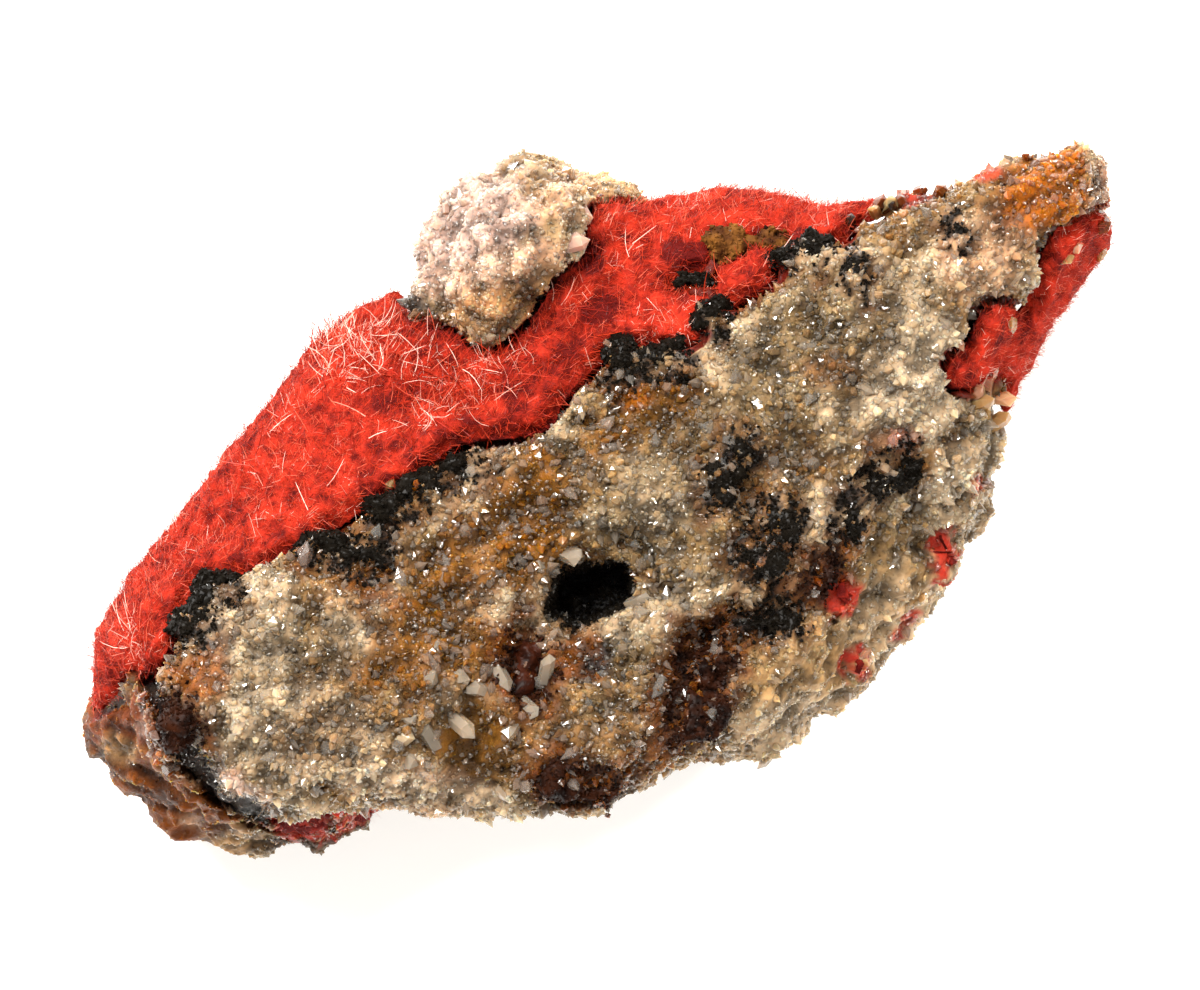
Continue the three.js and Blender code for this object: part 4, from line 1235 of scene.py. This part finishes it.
def single(random, stain_and_shade, x, y, length, width, direction, tilt):
    """One crystal that lies on the highest ground at a place, with its root a little in it."""
    ground = everything.ray_cast(Vector((x, y, SKY)) * MM, Vector((0, 0, -1)))[0]
    if ground is None:  # the place is just off the edge, or over the gap between two minerals
        ground = everything.find_nearest(Vector((x, y, FACE)) * MM)[0]
    mesh = mesh_of("single", *quartz_point(random, shoulder=0.7))
    along, lift = math.radians(direction), math.radians(tilt)
    aim = Vector((math.cos(along) * math.cos(lift), math.sin(along) * math.cos(lift), math.sin(lift)))
    turn = aim.to_track_quat("Z", "Y").to_matrix().to_4x4()
    size = Matrix.Diagonal((width, width, length, 1)) * MM
    size[3][3] = 1
    place = Matrix.Translation(ground - Vector((0, 0, SINGLE_SINK)) - aim * 0.2 * length * MM)
    mesh.transform(place @ turn @ size)
    paint(mesh, np.tile(COLOURS[stain_and_shade], (len(mesh.vertices), 1)))
    store(mesh, "tone", np.full(len(mesh.vertices), random.uniform(0.4, 0.9)))
    return mesh


def joined(meshes):
    """One mesh of several. Their materials are kept in order."""
    things = [linked("part", mesh) for mesh in meshes]
    with bpy.context.temp_override(active_object=things[0], selected_editable_objects=things):
        bpy.ops.object.join()
    mesh = things[0].data
    bpy.data.objects.remove(things[0])
    return mesh


everything = surface_of(sorted(nodes))
random = np.random.default_rng(8)
for name, material, rows in (
    ("quartz_single_clear_crystals", GLASSY, CLEAR_SINGLES),
    ("quartz_single_stained_crystals", MILKY, STAINED_SINGLES),
):
    singles = joined([single(random, *row) for row in rows])
    singles.materials.append(material)
    piece(name, singles)

# %% [markdown]
# ### The rock as a piece
# The painted skin is the ground on which the crystals grew. A copy of it with the material of the rock stands
# for the CAD node of the quartz.

# %% The rock itself
piece("quartz_rock", surfaced(skin.copy(), ROCK), ["quartz_matrix"])

# %% [markdown]
# ## Chalcotrichite
# Chalcotrichite is cuprite grown as hairs thinner than a wire of a few hundredths of a millimetre. They mat
# into a felt. A pad made from each CAD felt solid, remeshed and softened, fills the mass of the felt, and
# thousands of short bent hairs on it make the nap. Hair curves can't be exported, so each hair is a thin
# three-sided spike. The pads of the four small tufts are sunk in the rock by noise, so that only ragged
# flecks of them show.

# %% Pads
PAD_VOXEL = 0.2 * MM
PAD_SWELL = 0.22 * MM  # closes the gap between the felt and the rock
FLECK_SWELL = -0.03 * MM
FLECK_SINK = 0.48 * MM  # how far the three small tufts on the flank sink into the rock
FOOT_TUFT_SINK = 0.1 * MM
BLUNT_END = -18.9 * MM  # the felt stops short of here, or its left end would be a spike
PAD_LUMPS = (  # size, height, seed
    (1.8 * MM, 0.22 * MM, 31.0),
    (0.6 * MM, 0.10 * MM, 37.0),
    (0.35 * MM, 0.09 * MM, 39.0),
)


def soft_pad(name):
    """A felt solid remeshed, swelled to close its gap, smoothed and made lumpy."""
    pad = modified(
        welded_copy([name]),
        remesh(PAD_VOXEL),
        swell(FLECK_SWELL if name.endswith(FLECKS) else PAD_SWELL),
        ("SMOOTH", {"iterations": 6, "factor": 0.5}),
    )
    relief(pad, PAD_LUMPS)
    places = coordinates(pad)
    places[:, X] = np.maximum(places[:, X], BLUNT_END + 0.2 * (places[:, X] - BLUNT_END))
    move_to(pad, places)
    return pad


def worn_pad(name):
    """A small tuft in the quartz: soft, but sunk until only a ragged fleck of it shows."""
    pad = soft_pad(name)
    places, directions = coordinates(pad), outward(pad)
    if name.endswith("foot_tuft"):
        sink = FOOT_TUFT_SINK * (1 + 3.0 * noise_at(places, 0.7 * MM, 59.0))
    else:
        sink = FLECK_SINK * (1 + 1.8 * noise_at(places, 0.4 * MM, 59.0))
    places -= directions * sink[:, None]
    move_to(pad, places)
    return pad


print("felt solids:", len(named("chalcotrichite")))

# %% Where the hairs grow
RIM_DIP = 0.5 * MM  # how far the rim of a pad is lowered
FELT_SPLIT = -6.0 * MM  # the nap of the main felt is two pieces, left and right of this
LIT_TANGLES = (  # ovals of long pale tangled hairs, painted lighter as a highlight: x, y, half length, half width, turn
    (-8.6, 5.6, 2.3, 1.1, -10),
    (-5.2, 4.2, 2.6, 1.0, 22),
    (-17.3, -5.1, 0.9, 0.45, -60),
)
SHADED_FELT = (  # ovals where the felt is painted darker as shade
    (-0.2, 9.2, 0.6, 0.5, 0),
    (0.1, 7.4, 0.8, 0.45, 20),
    (3.2, 9.4, 0.9, 0.5, 0),
    (-3.4, 1.2, 2.2, 0.5, 25),
    (-7.0, 0.8, 1.4, 0.4, 15),
)


def nap_fields(pad, light):
    """Lowers the rim of a pad where it meets the rock, and stores where its hairs grow and the light and
    shade that is painted on them and on the pad."""
    places, directions = coordinates(pad), outward(pad)
    gap = distance_to(["quartz_matrix"], places)
    rim = smooth(0.9, 0.2, gap + 0.25 * noise_at(places, 0.5 * MM, 57.0))
    rim *= step_along(X, -19.0, -17.0, places)  # the left end is too thin for it
    places[:, Z] -= rim * smooth(0.1, 0.6, directions[:, Z]) * RIM_DIP
    move_to(pad, places)
    nap = smooth(-0.3, 0.2, directions[:, Z]) * smooth(0.05, 0.2, gap)  # on the open side, and not buried
    on_left = np.where(places[:, X] < FELT_SPLIT, 1.0, 0.0)
    store(pad, "nap", nap)
    store(pad, "nap_left", nap * on_left)
    store(pad, "nap_right", nap * (1 - on_left))
    store(pad, "grain", np.full(len(places), MM))
    fray = noise_at(places, 0.8 * MM, 51.0)
    lit_tangle, felt_shade = ovals(places, LIT_TANGLES, fray), ovals(places, SHADED_FELT, fray)
    store(pad, "tangle", nap * (lit_tangle + 0.02))
    # painted light and shade: darker from x = -9.5 mm, lighter again from x = -3 mm, lighter in the lit
    # tangles, darker in the shaded ovals, with random noise
    light = light - 0.12 * step_along(X, -9.5, -6.0, places) + 0.16 * step_along(X, -3.0, 1.0, places)
    store(pad, "light", light + 0.12 * lit_tangle - 0.5 * felt_shade + 0.22 * noise_at(places, 1.1 * MM, 53.0))


print("ovals of bright and of dim felt:", len(LIT_TANGLES), len(SHADED_FELT))

# %% Grow the nap
NAP_COMB = (0.30, 0.25, 0.0)  # the way in which the hairs are combed
PALE_LENGTHS = (0.11, 0.7, 1.6)  # spacing, shortest and longest of the long pale hairs
FELTS = (  # node, parts of the nap, painted light (below 0, painted shade), spacing of hairs, shortest, longest
    ("chalcotrichite_main_felt", ("_left", "_right"), 0.0, 0.073, 0.25, 0.64),
    ("chalcotrichite_right_vein", ("",), -0.01, 0.085, 0.25, 0.5),
    # painted shade: the foot tuft lies under the face and is painted darker
    ("chalcotrichite_foot_tuft", ("",), -0.3, 0.10, 0.25, 0.5),
    ("chalcotrichite_flank_tuft", ("",), -0.15, 0.085, 0.12, 0.3),
    ("chalcotrichite_edge_tuft", ("",), -0.15, 0.085, 0.12, 0.3),
    ("chalcotrichite_low_tuft", ("",), -0.25, 0.085, 0.12, 0.3),
)


def hairs_on(pad, shapes, where, spacing, shortest, longest, lift, tone_spread, seed):
    """Hairs on the part of a pad that the field says. Lengths in millimetres."""
    return grown(
        pad.copy(),
        Shapes=shapes,
        Where=where,
        Spacing=spacing * MM,
        Smallest=shortest,
        Largest=longest,
        Slimmest=0.6,
        Stoutest=1.0,
        Lift=lift,
        Lean=0.7,
        Comb=NAP_COMB,
        Sink=-0.02 * MM,
        Tone_spread=tone_spread,
        Seed=seed,
        Material=HAIR,
    )


for seed, (name, parts, light, spacing, shortest, longest) in enumerate(FELTS, start=20):
    pad = worn_pad(name) if name.endswith(FLECKS) else soft_pad(name)
    nap_fields(pad, light)
    for part in parts:
        where, lengths = "nap" + part, (spacing, shortest, longest)
        nap = hairs_on(pad, short_hairs, where, *lengths, lift=0.25, tone_spread=0.95, seed=seed)
        piece(name + "_hairs" + part, nap)
    if name == "chalcotrichite_main_felt":
        tangle = hairs_on(pad, long_hairs, "tangle", *PALE_LENGTHS, lift=0.3, tone_spread=1.15, seed=30)
        piece("chalcotrichite_pale_hairs", tangle)
    piece(name + "_pad", surfaced(pad, FELT), [name])

# %% [markdown]
# ## Tenorite and goethite
# Tenorite fills pockets and seams with black angular grains, and goethite with brown rounded crusts. Each CAD
# solid of them becomes a rough core, remeshed and pushed about by noise, on which its own grains grow. A core
# is joined with its grains, so that one piece stands for one CAD solid.

# %% Clumps
CORE_VOXEL = 0.16 * MM
CORE_SWELL = 0.05 * MM
CORE_LIFT = 0.15 * MM  # how far a clump stands up in the felt
RIM_SINK = 0.4 * MM  # how deep the rim of a clump dips into the quartz
GRAIN_SPACING = 0.12 * MM
COMMON_FINISH = (GOETHITE, 0.8)  # material, share covered with grains
FINISHES = {  # goethite that differs from the rest
    "goethite_pocket": (LUSTROUS, 0.1),
    "goethite_in_felt": (OCHREOUS, 0.8),
}
SUNKEN = ("crest", "left_seam", "step")  # clumps of which only the tops show


def clump(name, material, cover, seed):
    """A rough core in the place of a CAD solid, with grains of its mineral on a share of it. Its rim is
    sunk, so that it meets the quartz along a ragged line."""
    core = modified(
        welded_copy([name]),
        remesh(CORE_VOXEL),
        swell(CORE_SWELL),
        ("SMOOTH", {"iterations": 2, "factor": 0.5}),
    )
    places = coordinates(core)
    rim = smooth(0.8, 0.1, distance_to(["quartz_matrix"], places))
    depth = 0.95 if name.endswith(NARROW) else 0.7 if name.endswith(SUNKEN) else 0.2
    broken = depth + 0.9 * noise_at(places, 0.55 * MM, 63.0 + seed)
    if name.endswith("in_felt"):
        places[:, Z] += CORE_LIFT
    else:
        places[:, Z] -= (rim + broken * (0.4 + 0.6 * rim)) * RIM_SINK
    move_to(core, places)
    relief(core, LUMPS)
    relief(core, ((0.7 * MM, 0.16 * MM, 61.0 + seed), (0.3 * MM, 0.14 * MM, 67.0 + seed)))
    carve(core)
    places, directions = coordinates(core), outward(core)
    store(core, "everywhere", smooth(-0.6, 0.0, directions[:, Z]) * cover)
    store(core, "grain", np.full(len(places), MM))
    store(core, "light", np.zeros(len(places)))
    grains = grown(
        core.copy(),
        Shapes=grits,
        Where="everywhere",
        Spacing=GRAIN_SPACING,
        Smallest=0.08,
        Largest=0.24,
        Slimmest=0.5,
        Lean=1.5,
        Sink=0.0,
        Seed=seed,
        Material=material,
    )
    return joined([surfaced(core, material), grains])


for seed, name in enumerate(named("tenorite"), start=40):
    piece(name + "_grains", clump(name, TENORITE, cover=1.0, seed=seed), [name])
for seed, name in enumerate(named("goethite"), start=80):
    material, cover = FINISHES.get(name, COMMON_FINISH)
    piece(name + "_crust", clump(name, material, cover, seed), [name])

# %% [markdown]
# ## Finish
# The number of pieces and of their triangles in the finished model is printed.

# %% Pieces and triangles
total = sum(len(face.vertices) - 2 for made in PIECES for face in made.data.polygons)
print("pieces:", len(PIECES), "triangles:", total)
